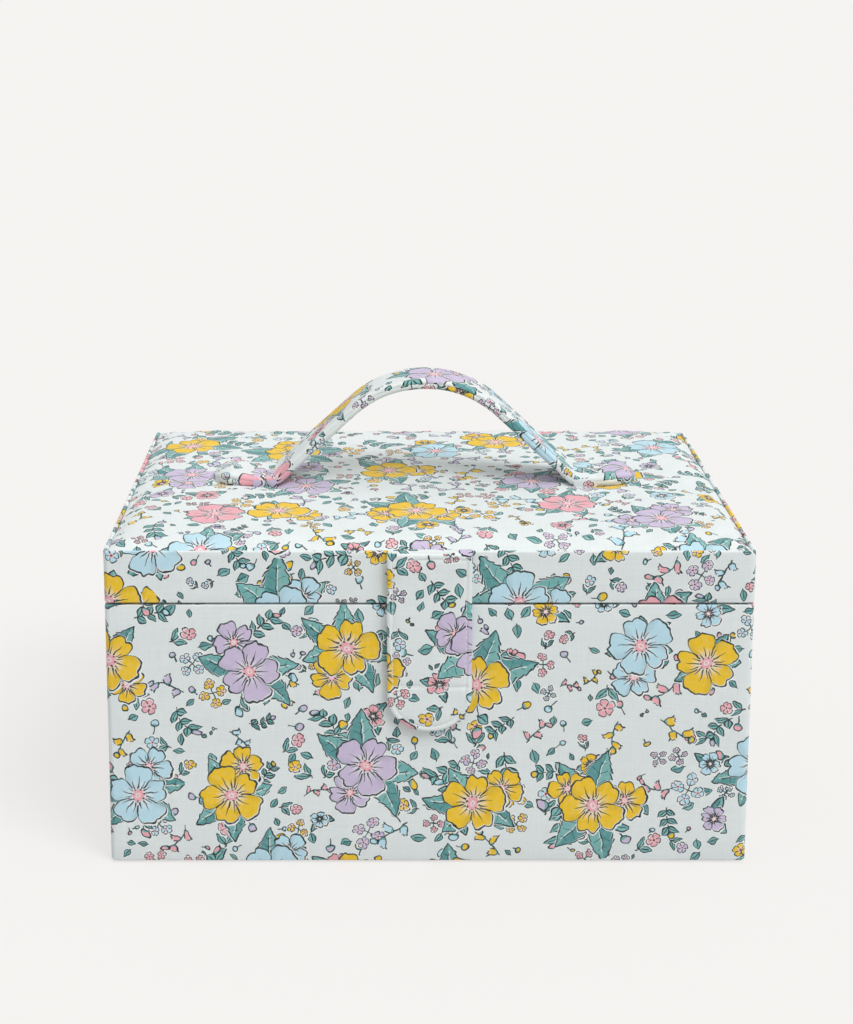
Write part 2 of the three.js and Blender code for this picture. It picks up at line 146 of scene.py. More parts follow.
def lay_over(below, above, mask, blend="MIX", tree=None):
    """One colour laid over another where the mask says so."""
    mix = (mask.tree if tree is None else tree).nodes.new("ShaderNodeMix")
    mix.data_type = "RGBA"
    mix.blend_type = blend
    wanted = {("Factor", "VALUE"): mask, ("A", "RGBA"): below, ("B", "RGBA"): above}
    for socket in mix.inputs:
        if (socket.name, socket.type) in wanted:
            link(wanted[socket.name, socket.type], socket)
    return next(socket for socket in mix.outputs if socket.type == "RGBA")


def start_material(name, roughness, metallic=0.0, sheen=0.0):
    """A new material and its shader. What is the same all over is set here."""
    material = bpy.data.materials.new(name)
    material.use_nodes = True
    shader = material.node_tree.nodes["Principled BSDF"]
    shader.inputs["Roughness"].default_value = roughness
    shader.inputs["Metallic"].default_value = metallic
    shader.inputs["Sheen Weight"].default_value = sheen
    return material, shader


def seen_directly(node):
    """1 for what the camera sees, straight or through gloss and glass, and 0 for other light."""
    path = node.id_data.nodes.new("ShaderNodeLightPath")
    rays = [Reading(path.outputs[f"Is {kind} Ray"]) for kind in ("Camera", "Glossy", "Transmission")]
    return rays[0].greater(rays[1]).greater(rays[2])


bpy.ops.object.select_all(action="DESELECT")
bpy.ops.mesh.primitive_plane_add(size=floor_size, location=(0, 0, -floor_drop))
floor = bpy.context.object
floor.name = "studio_floor"
floor_paint, shader = start_material("studio floor", roughness=1)
shader.inputs["Specular IOR Level"].default_value = 0
shader.inputs["Emission Color"].default_value = backdrop_shade
seen = seen_directly(shader)
link(lay_over(floor_bounce, floor_seen, seen), shader.inputs["Base Color"])
link(seen * floor_glow, shader.inputs["Emission Strength"])
floor.data.materials.append(floor_paint)

scene.world = bpy.data.worlds.new("studio sky")
scene.world.use_nodes = True
nodes = scene.world.node_tree.nodes
sky = nodes["Background"]
sky.inputs["Color"].default_value = sky_shade
height = axes_of(nodes.new("ShaderNodeTexCoord").outputs["Generated"])[2]
link(height.work("MULTIPLY_ADD", sky_rise, sky_low), sky.inputs["Strength"])
backdrop = nodes.new("ShaderNodeBackground")
backdrop.inputs["Color"].default_value = backdrop_shade
either = nodes.new("ShaderNodeMixShader")
for source, socket in zip((seen_directly(sky), sky.outputs[0], backdrop.outputs[0]), either.inputs):
    link(source, socket)
link(either.outputs[0], nodes["World Output"].inputs["Surface"])

lamp = bpy.data.objects.new("soft lamp", bpy.data.lights.new("soft lamp", "SUN"))
bpy.context.collection.objects.link(lamp)
lamp.data.energy = lamp_strength
lamp.data.angle = lamp_spread
toward_lamp = Vector((
    math.cos(lamp_height) * math.sin(lamp_side),
    -math.cos(lamp_height) * math.cos(lamp_side),
    math.sin(lamp_height),
))
lamp.rotation_mode = "QUATERNION"
lamp.rotation_quaternion = toward_lamp.to_track_quat("Z", "Y")

# Carcase: four walls and a base of grey bookbinder's board, glued edge to edge, and the same
# board for the lid and the tab's stiffener. Cut edges show the pressed fibres.
board_pale, board_dark = (0.46, 0.42, 0.36, 1), (0.30, 0.27, 0.23, 1)
board_fleck, board_grain, board_run = 160, 900, 5
fleck_share, grain_share, tone_floor, tone_gain = 0.6, 0.4, 0.25, 2
board_relief = 0.15 * mm
sides = ("front", "back", "left", "right")
body_walls = [f"body_{side}_board" for side in sides]
lid_walls = [f"lid_{side}_board" for side in sides]


def speckle(place, scale, detail, dimensions="3D"):
    """A noise reading around a half, at so many specks to the metre."""
    grain = place.id_data.nodes.new("ShaderNodeTexNoise")
    grain.noise_dimensions = dimensions
    grain.inputs["Scale"].default_value = scale
    grain.inputs["Detail"].default_value = detail
    link(place, grain.inputs["Vector"])
    return Reading(grain.outputs["Fac"])


def stretched(place, scales):
    """A place with its axes stretched, for a grain that runs one way."""
    mapping = place.id_data.nodes.new("ShaderNodeMapping")
    mapping.inputs["Scale"].default_value = scales
    link(place, mapping.inputs["Vector"])
    return mapping.outputs["Vector"]


def object_place(shader):
    """The place on the object, in metres."""
    return shader.id_data.nodes.new("ShaderNodeTexCoord").outputs["Object"]


def shade_and_raise(shader, below, above, mask, relief, depth, blend="MIX"):
    """Colours a shader between two shades by a mask, and raises it by a reading, in metres."""
    link(lay_over(below, above, mask, blend), shader.inputs["Base Color"])
    bump = shader.id_data.nodes.new("ShaderNodeBump")
    bump.inputs["Distance"].default_value = depth
    link(relief, bump.inputs["Height"])
    link(bump.outputs["Normal"], shader.inputs["Normal"])


def finish_node(names, material):
    """Gives CAD nodes that stay a finer material."""
    for name in names:
        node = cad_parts[name]
        if not node.material_slots:
            node.data.materials.append(material)
        for slot in node.material_slots:
            slot.material = material


greyboard, shader = start_material("greyboard", roughness=0.95)
place = object_place(shader)
flecks = speckle(place, board_fleck, detail=4)
fibres = speckle(stretched(place, (1, 1, board_run)), board_grain, detail=2)
mottled = flecks * fleck_share + fibres * grain_share - tone_floor
tone = mottled.work("MULTIPLY", tone_gain, clamp=True)
shade_and_raise(shader, board_dark, board_pale, tone, fibres, board_relief)
finish_node([*body_walls, *lid_walls, "body_base_board", "lid_top_board", "tab_card"], greyboard)

# Magnets: two nickel-plated discs, one let into the front board and one into the tab's card.
# They are turned, so fine rings show in the plating.
magnet_rings, magnet_height = 2600, 68.2 * mm
nickel_dull, nickel_bright = (0.58, 0.59, 0.60, 1), (0.74, 0.74, 0.75, 1)
plating_wear, plating_gloss, plating_dulled = 300, 0.18, 0.25
plating_relief = 0.01 * mm
magnets, shader = start_material("plated magnet", roughness=0.28, metallic=1.0)
place = object_place(shader)
centred = shader.id_data.nodes.new("ShaderNodeMapping")
centred.inputs["Location"].default_value = (0, 0, -magnet_height)
link(place, centred.inputs["Vector"])
across, _, up = axes_of(centred.outputs["Vector"])
ring = ((across * across + up * up).work("SQRT") * magnet_rings).sine()
wear = speckle(place, plating_wear, detail=3)
link(wear * plating_dulled + plating_gloss, shader.inputs["Roughness"])
shade_and_raise(shader, nickel_dull, nickel_bright, wear, ring, plating_relief)
finish_node(["body_magnet", "tab_magnet"], magnets)

# Body cover: one strip of printed cotton glued round the four walls, folded under the base and
# over the rim. The strip's ends meet at the back left corner, where a shop box has its join.
box_half_x, box_half_y = 130 * mm, 95 * mm
seam_height, half_seam = 111 * mm, 0.42 * mm
cloth_thick = 0.8 * mm
corner_radius, fold_radius, least_radius = 2.6 * mm, 0.6 * mm, 0.4 * mm
body_rim = seam_height - half_seam
cover_floor = 0.85 * mm
lining_face = 6.2 * mm
turn_under, turn_in = 14 * mm, 10 * mm
wall_unevenness, wall_wave = 0.14 * mm, 38 * mm
cover_cut = (0.012, 0.004)
cotton_ground = (0.85, 0.908, 0.9, 1)
# The next colour darkens the print by the weave: the slubs' own tone, and painted shade between the
# threads.
slub_and_hollow_shade = (0.80, 0.83, 0.84, 1)
ink_shade = (0.008, 0.028, 0.03, 1)
halo_shade = (0.94, 0.95, 0.94, 1)
leaf_dark = (0.085, 0.31, 0.315, 1)
leaf_shade = (0.18, 0.485, 0.475, 1)
leaf_light = (0.29, 0.61, 0.585, 1)
pink_shade = (0.94, 0.45, 0.51, 1)
petal_white = (0.95, 0.92, 0.92, 1)
mustard_shade = (0.97, 0.62, 0.014, 1)
lilac_shade = (0.68, 0.58, 0.78, 1)
blue_shade = (0.57, 0.83, 0.94, 1)
small_shades = [(0.3, pink_shade), (0.24, blue_shade), (0.24, mustard_shade), (0.22, lilac_shade)]
large_shades = [(0.42, mustard_shade), (0.26, lilac_shade), (0.22, blue_shade), (0.10, pink_shade)]
print_softness = 0.1
wobble_scale, hand_wobble = 170, 2.2
mottle_scale, mottle_floor, mottle_strength = 420, 0.42, 0.25
bloom_cells = (50, 0.55, (11.0, 7.0))
sprig_cells = (22, 0.7, (4.0, 17.0))
posy_cells = (14.5, 0.7, (8.5, 2.5))
bud_cells = (7.5, 0.85, (1.5, 5.5))
bloom_full, bloom_head, sprig_full, posy_full, bud_full = 24, 12.5, 12, 7.4, 3.4
side_blooms, side_turn = ((2.3, 12.5, 7.8, 0.6), (0.0, 13.5, 8.8, 0.25)), 0.37
round_bloom, round_sprig, round_posy = (16, 14, 12), (9, 7.4), 5.4


def start_group(name, inputs, outputs):
    """A shader node group with its sockets, and the sockets inside it by name."""
    group = bpy.data.node_groups.new(name, "ShaderNodeTree")
    for way, sockets in (("INPUT", inputs), ("OUTPUT", outputs)):
        for label, kind in sockets.items():
            group.interface.new_socket(name=label, in_out=way, socket_type=f"NodeSocket{kind}")
    entry = group.nodes.new("NodeGroupInput")
    leave = group.nodes.new("NodeGroupOutput")
    return group, entry.outputs, leave.inputs


def channels(colour):
    """A colour's three readings."""
    apart = colour.id_data.nodes.new("ShaderNodeSeparateColor")
    link(colour, apart.inputs[0])
    return [Reading(socket) for socket in apart.outputs[:3]]


def within(distance):
    """1 inside a shape, where its distance is below zero, with a soft edge."""
    return distance.work("MULTIPLY_ADD", -1 / print_softness, 0.5, clamp=True)


def along_line(distance, half):
    """1 on a drawn line of so many half millimetres."""
    return within(abs(distance) - half)


def cells(place, layer, feature="F1"):
    """The loose grid of cells that one layer of the print is planned on."""
    spacing, looseness, shift = layer
    nodes = place[0].tree.nodes
    grid = nodes.new("ShaderNodeTexVoronoi")
    grid.voronoi_dimensions = "2D"
    grid.feature = feature
    grid.inputs["Scale"].default_value = 1
    grid.inputs["Randomness"].default_value = looseness
    joined = nodes.new("ShaderNodeCombineXYZ")
    local = [
        value.work("MULTIPLY_ADD", 1 / spacing, move / spacing) for value, move in zip(place, shift)
    ]
    for value, socket in zip(local, joined.inputs):
        link(value, socket)
    link(joined.outputs[0], grid.inputs["Vector"])
    return grid, local


def room_at(place, layer):
    """How far a place is from the border of its cell."""
    border, _ = cells(place, layer, "DISTANCE_TO_EDGE")
    return Reading(border.outputs["Distance"]) * layer[0]


def scatter(place, layer):
    """One motif to a cell: the place from its middle, its middle, three chances and its room."""
    spacing, _, shift = layer
    grid, local = cells(place, layer)
    spots = axes_of(grid.outputs["Position"])[:2]
    away = [(value - spot) * spacing for value, spot in zip(local, spots)]
    centre = [spot.work("MULTIPLY_ADD", spacing, -move) for spot, move in zip(spots, shift)]
    return away, centre, channels(grid.outputs["Color"]), room_at(centre, layer)


def clear_of(centre, layers):
    """1 where a motif's middle is far enough from the motifs of the layers above it."""
    clear = None
    for layer, reach in layers:
        grid, _ = cells(centre, layer)
        far = (Reading(grid.outputs["Distance"]) * layer[0]).above(reach)
        clear = far if clear is None else clear * far
    return clear


def pick(chance, shades):
    """One of several shades, each up to its share of the chances."""
    ramp = chance.tree.nodes.new("ShaderNodeValToRGB")
    ramp.color_ramp.interpolation = "CONSTANT"
    start = 0.0
    for number, (share, shade) in enumerate(shades):
        stops = ramp.color_ramp.elements
        if number < 2:
            stop = stops[number]
            stop.position = start
        else:
            stop = stops.new(start)
        stop.color = shade
        start += share
    link(chance, ramp.inputs[0])
    return ramp.outputs[0]


def far_from(x, y):
    """How far a place is from its middle."""
    return (x * x + y * y).work("SQRT")


def turned(away, angle):
    """A place turned about its middle."""
    x, y = away
    c, s = angle.cosine(), angle.sine()
    return x * c + y * s, y * c - x * s


def rayed(away, count, turn):
    """A place seen from the nearest of so many rays: along it, across it, and a number for it."""
    x, y = away
    reach = far_from(x, y)
    part = y.work("ARCTAN2", x) * (count / math.tau) + turn
    aside = (part.fraction() - 0.5) * (math.tau / count)
    which = part.whole() * (2 * math.tau / count)
    return reach * aside.cosine(), reach * aside.sine(), which


def draw_bloom(colour, away, radius, petals, turn, chance, shade, show, rich=True, ink=0.36):
    """An open flower: petals with uneven edges, a pale foot, drawn veins and a dotted pink heart."""
    petal_swing, petal_round, petal_waist = 0.08, 4, 0.36
    notch_steep, notch_depth, ripples, ripple_depth = 6, 0.05, 17, 0.03
    parting, parting_reach = 0.8, 0.3
    slip, slip_least, slip_gain, halo = 0.3, 0.1, 1.3, 0.3
    streaks, streak_depth, foot_reach, foot_fade, foot_strength = 31, 0.07, 0.52, 3.2, 0.75
    x, y = away
    reach = far_from(x, y)
    angle = y.work("ARCTAN2", x)
    part = angle * (petals / math.tau) + turn
    aside = part.fraction() - 0.5
    side = abs(aside) * 2
    own = part.whole() * (2 * math.tau / petals) + chance * math.tau
    notch = (1 - side * notch_steep).held() * notch_depth
    shape = own.sine() * petal_swing + 1 - side**petal_round * petal_waist - notch
    if rich:
        shape = shape + (aside * ripples + own).sine() * ripple_depth
    out = reach - radius * shape
    body = within(out) * show
    gap = (1 - side) * (math.pi / petals) * reach
    parted = within(gap - ink * parting) * within(radius * parting_reach - reach)
    slipped = (x - y) / reach * slip
    fill = within(out + (slipped + slip_least).held() * slip_gain) * show
    colour = lay_over(colour, halo_shade, within(out - ink - halo - slipped) * show)
    colour = lay_over(colour, shade, fill)
    streak = (aside * streaks).sine() * streak_depth
    pale = ((streak + foot_reach - reach / radius) * foot_fade).held() * fill * foot_strength
    if rich:
        deep_share, deep_from, deep_steep = 0.14, 0.2, 5
        deep = lay_over(shade, ink_shade, deep_share, tree=reach.tree)
        colour = lay_over(colour, deep, ((aside - deep_from) * deep_steep).held() * fill)
    colour = lay_over(colour, petal_white, pale)
    lines = parted.greater(along_line(out, ink)) * body.greater(within(out - ink) * show)
    if rich:
        veins, vein_swing, vein_end, vein_drop = 3, 0.08, 0.66, 0.22
        vein_start, vein_taper, vein_half = 0.24, 0.4, 0.07
        vein = abs((aside * veins + 0.5).fraction() - 0.5) * (math.tau / petals / veins) * reach
        far = own.cosine() * vein_swing + vein_end - side * vein_drop
        taper = (1 - reach / (radius * far)).held() * vein_taper
        short = within(reach - radius * far) * within(radius * vein_start - reach)
        lines = lines.greater(within(vein - taper - vein_half) * short * show)
    colour = lay_over(colour, ink_shade, lines)
    if rich:
        heart, heart_points, heart_ragged = 0.21, 9, 0.02
        dots, dot_place, dot_size = 7, 0.2, 0.38
        ring_place, ring_half, ring_strength = 0.07, 0.3, 0.8
        ragged = (angle * heart_points).sine() * heart_ragged + heart
        colour = lay_over(colour, pink_shade, within(reach - radius * ragged) * show)
        spot = abs((angle * (dots / math.tau) + turn).fraction() - 0.5) * (math.tau / dots) * reach
        near = far_from(spot, reach - radius * dot_place) - dot_size
        light = abs(reach - radius * ring_place) - ring_half
        colour = lay_over(colour, petal_white, within(light) * show * ring_strength)
        return lay_over(colour, ink_shade, within(near) * show)
    small_heart, heart_dot = 0.26, 0.13
    colour = lay_over(colour, pink_shade, within(reach - radius * small_heart) * show)
    return lay_over(colour, ink_shade, within(reach - radius * heart_dot) * show)


def draw_leaf(colour, along, across, length, half, show, ink=0.32, dark=0.0, cut=False):
    """A pointed leaf from its foot, with a midrib and one half lighter, and a cut edge on some."""
    fullness, foot_tail, slip, slip_most, halo, lit = 0.8, -0.12, 0.16, 0.6, 0.35, 0.6
    rib_half, rib_reach, halo_from = 0.2, 0.75, 0.02
    share = (along / length).held()
    edge = ((share**fullness) * math.pi).sine()
    if cut:
        teeth, tooth_top, tooth_depth = 7, 1.1, 0.2
        edge = edge * (tooth_top - (share * teeth).fraction() * tooth_depth)
    out = abs(across) - half * edge
    ends = within(along - length) * within(foot_tail * length - along) * show
    slipped = (across / half).held() * (half * slip).lesser(slip_most)
    fill = within(out + slipped) * ends
    colour = lay_over(colour, halo_shade, within(out - ink - halo) * ends * share.above(halo_from))
    near_half = lay_over(leaf_shade, leaf_dark, dark, tree=along.tree)
    both = lay_over(near_half, leaf_light, within(across) * lit)
    colour = lay_over(colour, both, fill)
    rib = within(abs(across) - rib_half) * within(along - length * rib_reach)
    lines = along_line(out, ink).greater(rib)
    if cut:
        veins, vein_slant, vein_half, vein_reach, vein_strength = 5, 0.8, 0.14, 0.3, 0.9
        pale_beside, pale_half, pale_reach, pale_strength = 0.5, 0.2, 0.8, 0.8
        slant = abs((share * veins - abs(across) / half * vein_slant).fraction() - 0.5)
        vein = slant * (length / veins) - vein_half
        lines = lines.greater(within(vein) * within(out + half * vein_reach) * vein_strength)
        beside_rib = within(abs(across + pale_beside) - pale_half)
        pale = beside_rib * within(along - length * pale_reach) * fill
        colour = lay_over(colour, halo_shade, pale * pale_strength)
    return lay_over(colour, ink_shade, lines * ends)


def draw_whorl(colour, away, size, leaves, turn, chance, show, cut=False):
    """Leaves round a flower, uneven in length, that stand out from behind it."""
    length_swing, usual_length, foot, bow_share, width_share = 0.12, 0.86, 0.12, 0.06, 0.22
    dark_from, dark_share, missing_below = 0.1, 0.85, -0.45
    along, across, which = rayed(away, leaves, turn)
    uneven = (which + chance * math.tau).sine()
    length = size * (uneven * length_swing + usual_length)
    along = along - size * foot
    bow = ((along / length).held() * math.pi).sine() * size * uneven * bow_share
    dark = uneven.above(dark_from) * dark_share
    grown = show * uneven.above(missing_below)
    return draw_leaf(
        colour, along, across - bow, length, size * width_share, grown, dark=dark, cut=cut
    )


def draw_bud(colour, along, across, radius, shade, show, ink=0.26):
    """A round bud with a green cap at its foot."""
    cap_place = 0.35
    out = far_from(along, across) - radius
    colour = lay_over(colour, shade, within(out) * show)
    colour = lay_over(colour, leaf_shade, within(out) * within(along + radius * cap_place) * show)
    return lay_over(colour, ink_shade, along_line(out, ink) * show)


def draw_sprays(colour, away, size, count, turn, chance, shade, show):
    """Thin bowed stems from behind a flower, each with a bud at its end and a small leaf."""
    bow_share, stem_half, stem_end, leaf_place = 0.3, 0.26, 0.8, 0.56
    lean_along, lean_across, leaf_length, leaf_half = 0.7, 0.71, 0.26, 0.075
    bud_place, bud_size = 0.86, 0.085
    along, across, which = rayed(away, count, turn)
    uneven = (which + chance * math.tau).cosine()
    share = (along / size).held()
    across = across - share * share * size * uneven * bow_share
    stem = within(abs(across) - stem_half) * within(along - size * stem_end) * within(-1 * along)
    colour = lay_over(colour, ink_shade, stem * show)
    foot = along - size * leaf_place
    leaf_along = foot * lean_along + across * lean_across
    leaf_across = across * lean_along - foot * lean_across
    colour = draw_leaf(colour, leaf_along, leaf_across, size * leaf_length, size * leaf_half, show)
    return draw_bud(colour, along - size * bud_place, across, size * bud_size, shade, show)


def draw_cluster(colour, away, size, count, turn, chance, shade, show):
    """A head of small flowers on short stems."""
    place_swing, flower_place, flower_size, stem_half, thin_ink = 0.06, 0.62, 0.33, 0.23, 0.21
    chance_swing = 0.1
    along, across, which = rayed(away, count, turn)
    uneven = (which + chance * math.tau).sine() * place_swing + flower_place
    out = along - size * uneven
    stem = within(abs(across) - stem_half) * within(out) * within(-1 * along) * show
    colour = lay_over(colour, ink_shade, stem)
    return draw_bloom(
        colour, (out, across), size * flower_size, 5, chance, which * chance_swing, shade, show,
        rich=False, ink=thin_ink,
    )


def draw_bell(colour, along, across, length, shade, show, ink=0.26):
    """A hanging bell flower: a green cap, a round body and a mouth with points."""
    bell_half, shoulder, waist, flare, flare_from = 0.38, 3, 0.62, 1.3, 0.7
    points, point_depth, mouth_place = 4.1, 0.14, 0.86
    neck, pale_from, pale_fade, pale_strength, cap_end = 0.2, 0.66, 3, 0.7, 0.2
    half = length * bell_half
    share = (along / length).held()
    body = ((share * shoulder).held() ** 0.5) * waist + (share - flare_from).held() * flare + neck
    mouth = along - length * (abs((across / half * points).sine()) * point_depth + mouth_place)
    out = (abs(across) - half * body).greater(mouth).greater(-1 * along)
    fill = within(out) * show
    colour = lay_over(colour, shade, fill)
    pale = ((share - pale_from) * pale_fade).held() * fill * pale_strength
    colour = lay_over(colour, petal_white, pale)
    colour = lay_over(colour, leaf_shade, within(along - length * cap_end) * fill)
    return lay_over(colour, ink_shade, along_line(out, ink) * show)


def draw_sprig(colour, away, size, chance, shade, show, bells):
    """A bowed stem with paired leaves, or with bells by turns on either side, and a bud at its end."""
    most_bow, bow_middle, steps, half_run, tile_foot = 0.9, 0.3, 1.9, 1.5, 0.3
    stem_half, stem_end, bud_size = 0.27, 0.84, 0.15
    lean_along, lean_across = 0.64, 0.77
    bell_length, leaf_length, leaf_half = 0.98, 1.15, 0.31
    x, y = away
    bow = (chance - 0.5) * most_bow
    off = y - x * x * bow / size + size * bow * bow_middle
    step = size / steps
    tile = x / step + 0.5
    side = (tile.whole() * 0.5).fraction() * 4 - 1
    foot = (tile.fraction() - tile_foot) * step
    inside = within(abs(x) - step * half_run) * show
    stem = within(abs(off) - stem_half) * within(abs(x) - size * stem_end) * show
    colour = lay_over(colour, ink_shade, stem)
    for kind, lean in ((1 - bells, abs(off)), (bells, off * side)):
        along = foot * lean_along + lean * lean_across
        across = lean * lean_along - foot * lean_across
        if kind is bells:
            colour = draw_bell(colour, along, across, step * bell_length, shade, inside * kind)
        else:
            length, half = step * leaf_length, step * leaf_half
            colour = draw_leaf(colour, along, across, length, half, inside * kind)
    return draw_bud(colour, x - size * stem_end, off, size * bud_size, shade, show)


def print_buds(colour, x, y):
    """The lowest layer: single leaves, and buds on short stalks."""
    leafy_from, leaf_foot, leaf_length, leaf_half, thin_ink = 0.4, 0.8, 1.7, 0.52, 0.23
    stalk_half, bud_place, bud_size = 0.24, 0.35, 0.48
    away, centre, chances, room = scatter((x, y), bud_cells)
    show = clear_of(centre, [
        (bloom_cells, round_bloom[2]), (sprig_cells, round_sprig[1]), (posy_cells, round_posy),
    ])
    size = room.lesser(bud_full)
    along, across = turned(away, chances[0] * math.tau)
    leafy = chances[1].above(leafy_from)
    colour = draw_leaf(
        colour, along + size * leaf_foot, across, size * leaf_length, size * leaf_half, show * leafy,
        ink=thin_ink, dark=chances[2],
    )
    shade = pick(chances[2], small_shades)
    budding = show * (1 - leafy)
    stalk = within(abs(across) - stalk_half) * within(abs(along + size * 0.5) - size * 0.5)
    colour = lay_over(colour, ink_shade, stalk * budding)
    return draw_bud(colour, along - size * bud_place, across, size * bud_size, shade, budding)


def print_posies(colour, x, y):
    """Small flowers, alone on a bowed stalk with two leaves, or four to a head."""
    many_from, bow_share, stalk_half, stalk_middle, stalk_reach = 0.55, 0.14, 0.26, 0.28, 0.64
    leaf_place, leaf_length, leaf_half, thin_ink = 0.66, 0.92, 0.19, 0.23
    lean_along, lean_across, head_place, head_size = 0.77, 0.64, 0.46, 0.48
    away, centre, chances, room = scatter((x, y), posy_cells)
    show = clear_of(centre, [(bloom_cells, round_bloom[1]), (sprig_cells, round_sprig[0])])
    size = room.lesser(posy_full)
    shade = pick(chances[2], small_shades)
    x_round, y_round = turned(away, chances[0] * math.tau)
    many = chances[1].above(many_from)
    single = show * (1 - many)
    bowed = y_round - (size - x_round * x_round / size) * bow_share
    length = within(abs(x_round - size * stalk_middle) - size * stalk_reach)
    stalk = within(abs(bowed) - stalk_half) * length
    colour = lay_over(colour, ink_shade, stalk * single)
    foot = size * leaf_place - x_round
    for way in (1, -1):
        lean = y_round * way
        along = foot * lean_along + lean * lean_across
        across = lean * lean_along - foot * lean_across
        colour = draw_leaf(
            colour, along, across, size * leaf_length, size * leaf_half, single, ink=thin_ink
        )
    head = (x_round + size * head_place, y_round)
    colour = draw_bloom(
        colour, head, size * head_size, 5, chances[0], chances[1], shade, single, rich=False,
        ink=thin_ink,
    )
    return draw_cluster(colour, away, size, 4, chances[0], chances[2], shade, show * many)


def print_sprigs(colour, x, y):
    """Sprigs of leaves or bells, and here and there a flower with three leaves."""
    flower_from, bells_from, flower_size, flower_ink = 0.72, 0.62, 0.58, 0.26
    away, centre, chances, room = scatter((x, y), sprig_cells)
    show = clear_of(centre, [(bloom_cells, round_bloom[0])])
    size = room.lesser(sprig_full)
    shade = pick(chances[2], small_shades)
    around = turned(away, chances[0] * math.tau)
    flowering = chances[1].above(flower_from)
    bells = (1 - chances[1]).above(bells_from)
    colour = draw_sprig(colour, around, size, chances[2], shade, show * (1 - flowering), bells)
    flowering = show * flowering
    colour = draw_whorl(colour, away, size, 3, chances[2], chances[0], flowering)
    return draw_bloom(
        colour, away, size * flower_size, 6, chances[0], chances[1], shade, flowering, ink=flower_ink
    )


def print_blooms(colour, x, y):
    """The large open flowers, with sprays, cut leaves and one or two smaller flowers beside them."""
    away, centre, chances, room = scatter((x, y), bloom_cells)
    full = room.above(0)
    large = pick(chances[0], large_shades)
    other = pick(chances[2], small_shades)
    size = room.lesser(bloom_full)
    colour = draw_sprays(colour, away, size, 3, chances[2], chances[0], other, full)
    colour = draw_whorl(colour, away, size, 7, chances[1], chances[2], full, cut=True)
    heading = chances[1] * math.tau
    for number, (spin, apart, radius, share) in enumerate(side_blooms):
        spot = [way * apart for way in ((heading + spin).cosine(), (heading + spin).sine())]
        beside = [value - move for value, move in zip(away, spot)]
        space = room_at([a + b for a, b in zip(centre, spot)], bloom_cells)
        grown = space.above(radius) * chances[2].above(share)
        turn = chances[2] + number * side_turn
        colour = draw_bloom(colour, beside, full * radius, 5, turn, chances[1], large, grown)
    head_size = room.lesser(bloom_head)
    return draw_bloom(colour, away, head_size, 5, chances[2], chances[0], large, full)


def build_print():
    """The printed cotton: blooms with leaves, sprigs, small flowers and buds on a pale ground."""
    group, entry, leave = start_group(
        "floral print", {"Place": "Vector", "Ground": "Color"}, {"Color": "Color"}
    )
    wobble = group.nodes.new("ShaderNodeTexNoise")
    wobble.noise_dimensions = "2D"
    wobble.inputs["Scale"].default_value = wobble_scale
    wobble.inputs["Detail"].default_value = 2
    link(entry["Place"], wobble.inputs["Vector"])
    places, moves = axes_of(entry["Place"]), channels(wobble.outputs["Color"])
    x, y = (places[axis] * (1 / mm) + (moves[axis] - 0.5) * hand_wobble for axis in (0, 1))
    colour = entry["Ground"]
    for print_layer in (print_buds, print_posies, print_sprigs, print_blooms):
        colour = print_layer(colour, x, y)
    mottle = speckle(entry["Place"], mottle_scale, detail=3, dimensions="2D")
    link(lay_over(colour, halo_shade, (mottle - mottle_floor).held() * mottle_strength), leave["Color"])
    return group


slub_close, slub_long = 1500, 70
painted_hollow_shade, thread_height, slub_tone = 0.2, 0.6, 1.8


def build_weave():
    """Plain weave: threads over and under, the odd thicker one either way, and painted shade in hollows.
    """
    group, entry, leave = start_group(
        "plain weave",
        {"Place": "Vector", "Threads": "Float", "Slub": "Float"},
        {"Height": "Float", "Slub and hollow shade": "Float"},
    )
    places = axes_of(entry["Place"])
    warp, weft = (places[axis] * Reading(entry["Threads"]) for axis in (0, 1))
    over = ((warp.whole() + weft.whole()) * 0.5).fraction().above(0.25)
    round_warp = (warp.fraction() * math.pi).sine()
    round_weft = (weft.fraction() * math.pi).sine()
    raised = over * round_warp + (1 - over) * round_weft
    thick = [
        speckle(stretched(entry["Place"], scales), 1, detail=2, dimensions="2D")
        for scales in ((slub_close, slub_long, 1), (slub_long, slub_close, 1))
    ]
    slubs = (thick[0] + thick[1]) * 0.5
    link(raised * thread_height + slubs * Reading(entry["Slub"]), leave["Height"])
    # Tone: thin slubs darker in their own colour, and painted shade where each thread dips under the
    # next.
    link((raised * painted_hollow_shade + (slubs - 0.5) * slub_tone + 0.5).held(), leave["Slub and hollow shade"])
    return group


def use_group(shader, group, **values):
    """Places a shader group in a material, with its own values."""
    placed = shader.id_data.nodes.new("ShaderNodeGroup")
    placed.node_tree = group
    for label, value in values.items():
        link(value, placed.inputs[label])
    return placed.outputs


def cloth_place(shader):
    """The place on the cloth as it was cut, in metres: the piece's own cloth map."""
    cut = shader.id_data.nodes.new("ShaderNodeUVMap")
    cut.uv_map = "cloth"
    return cut.outputs[0]


print_threads, print_slub, print_relief, slub_and_hollow_strength = 2300.0, 0.6, 0.16 * mm, 0.45
floral_print = build_print()
plain_weave = build_weave()
printed_cotton, shader = start_material("printed cotton", roughness=0.82, sheen=0.12)
place = cloth_place(shader)
drawn = use_group(shader, floral_print, Place=place, Ground=cotton_ground)["Color"]
woven = use_group(shader, plain_weave, Place=place, Threads=print_threads, Slub=print_slub)
# The print is multiplied darker by the weave: the slubs' own tone, and painted shade in the hollows
# between threads.
between = (1 - Reading(woven["Slub and hollow shade"])) * slub_and_hollow_strength
raised = Reading(woven["Height"])
shade_and_raise(shader, drawn, slub_and_hollow_shade, between, raised, print_relief, "MULTIPLY")


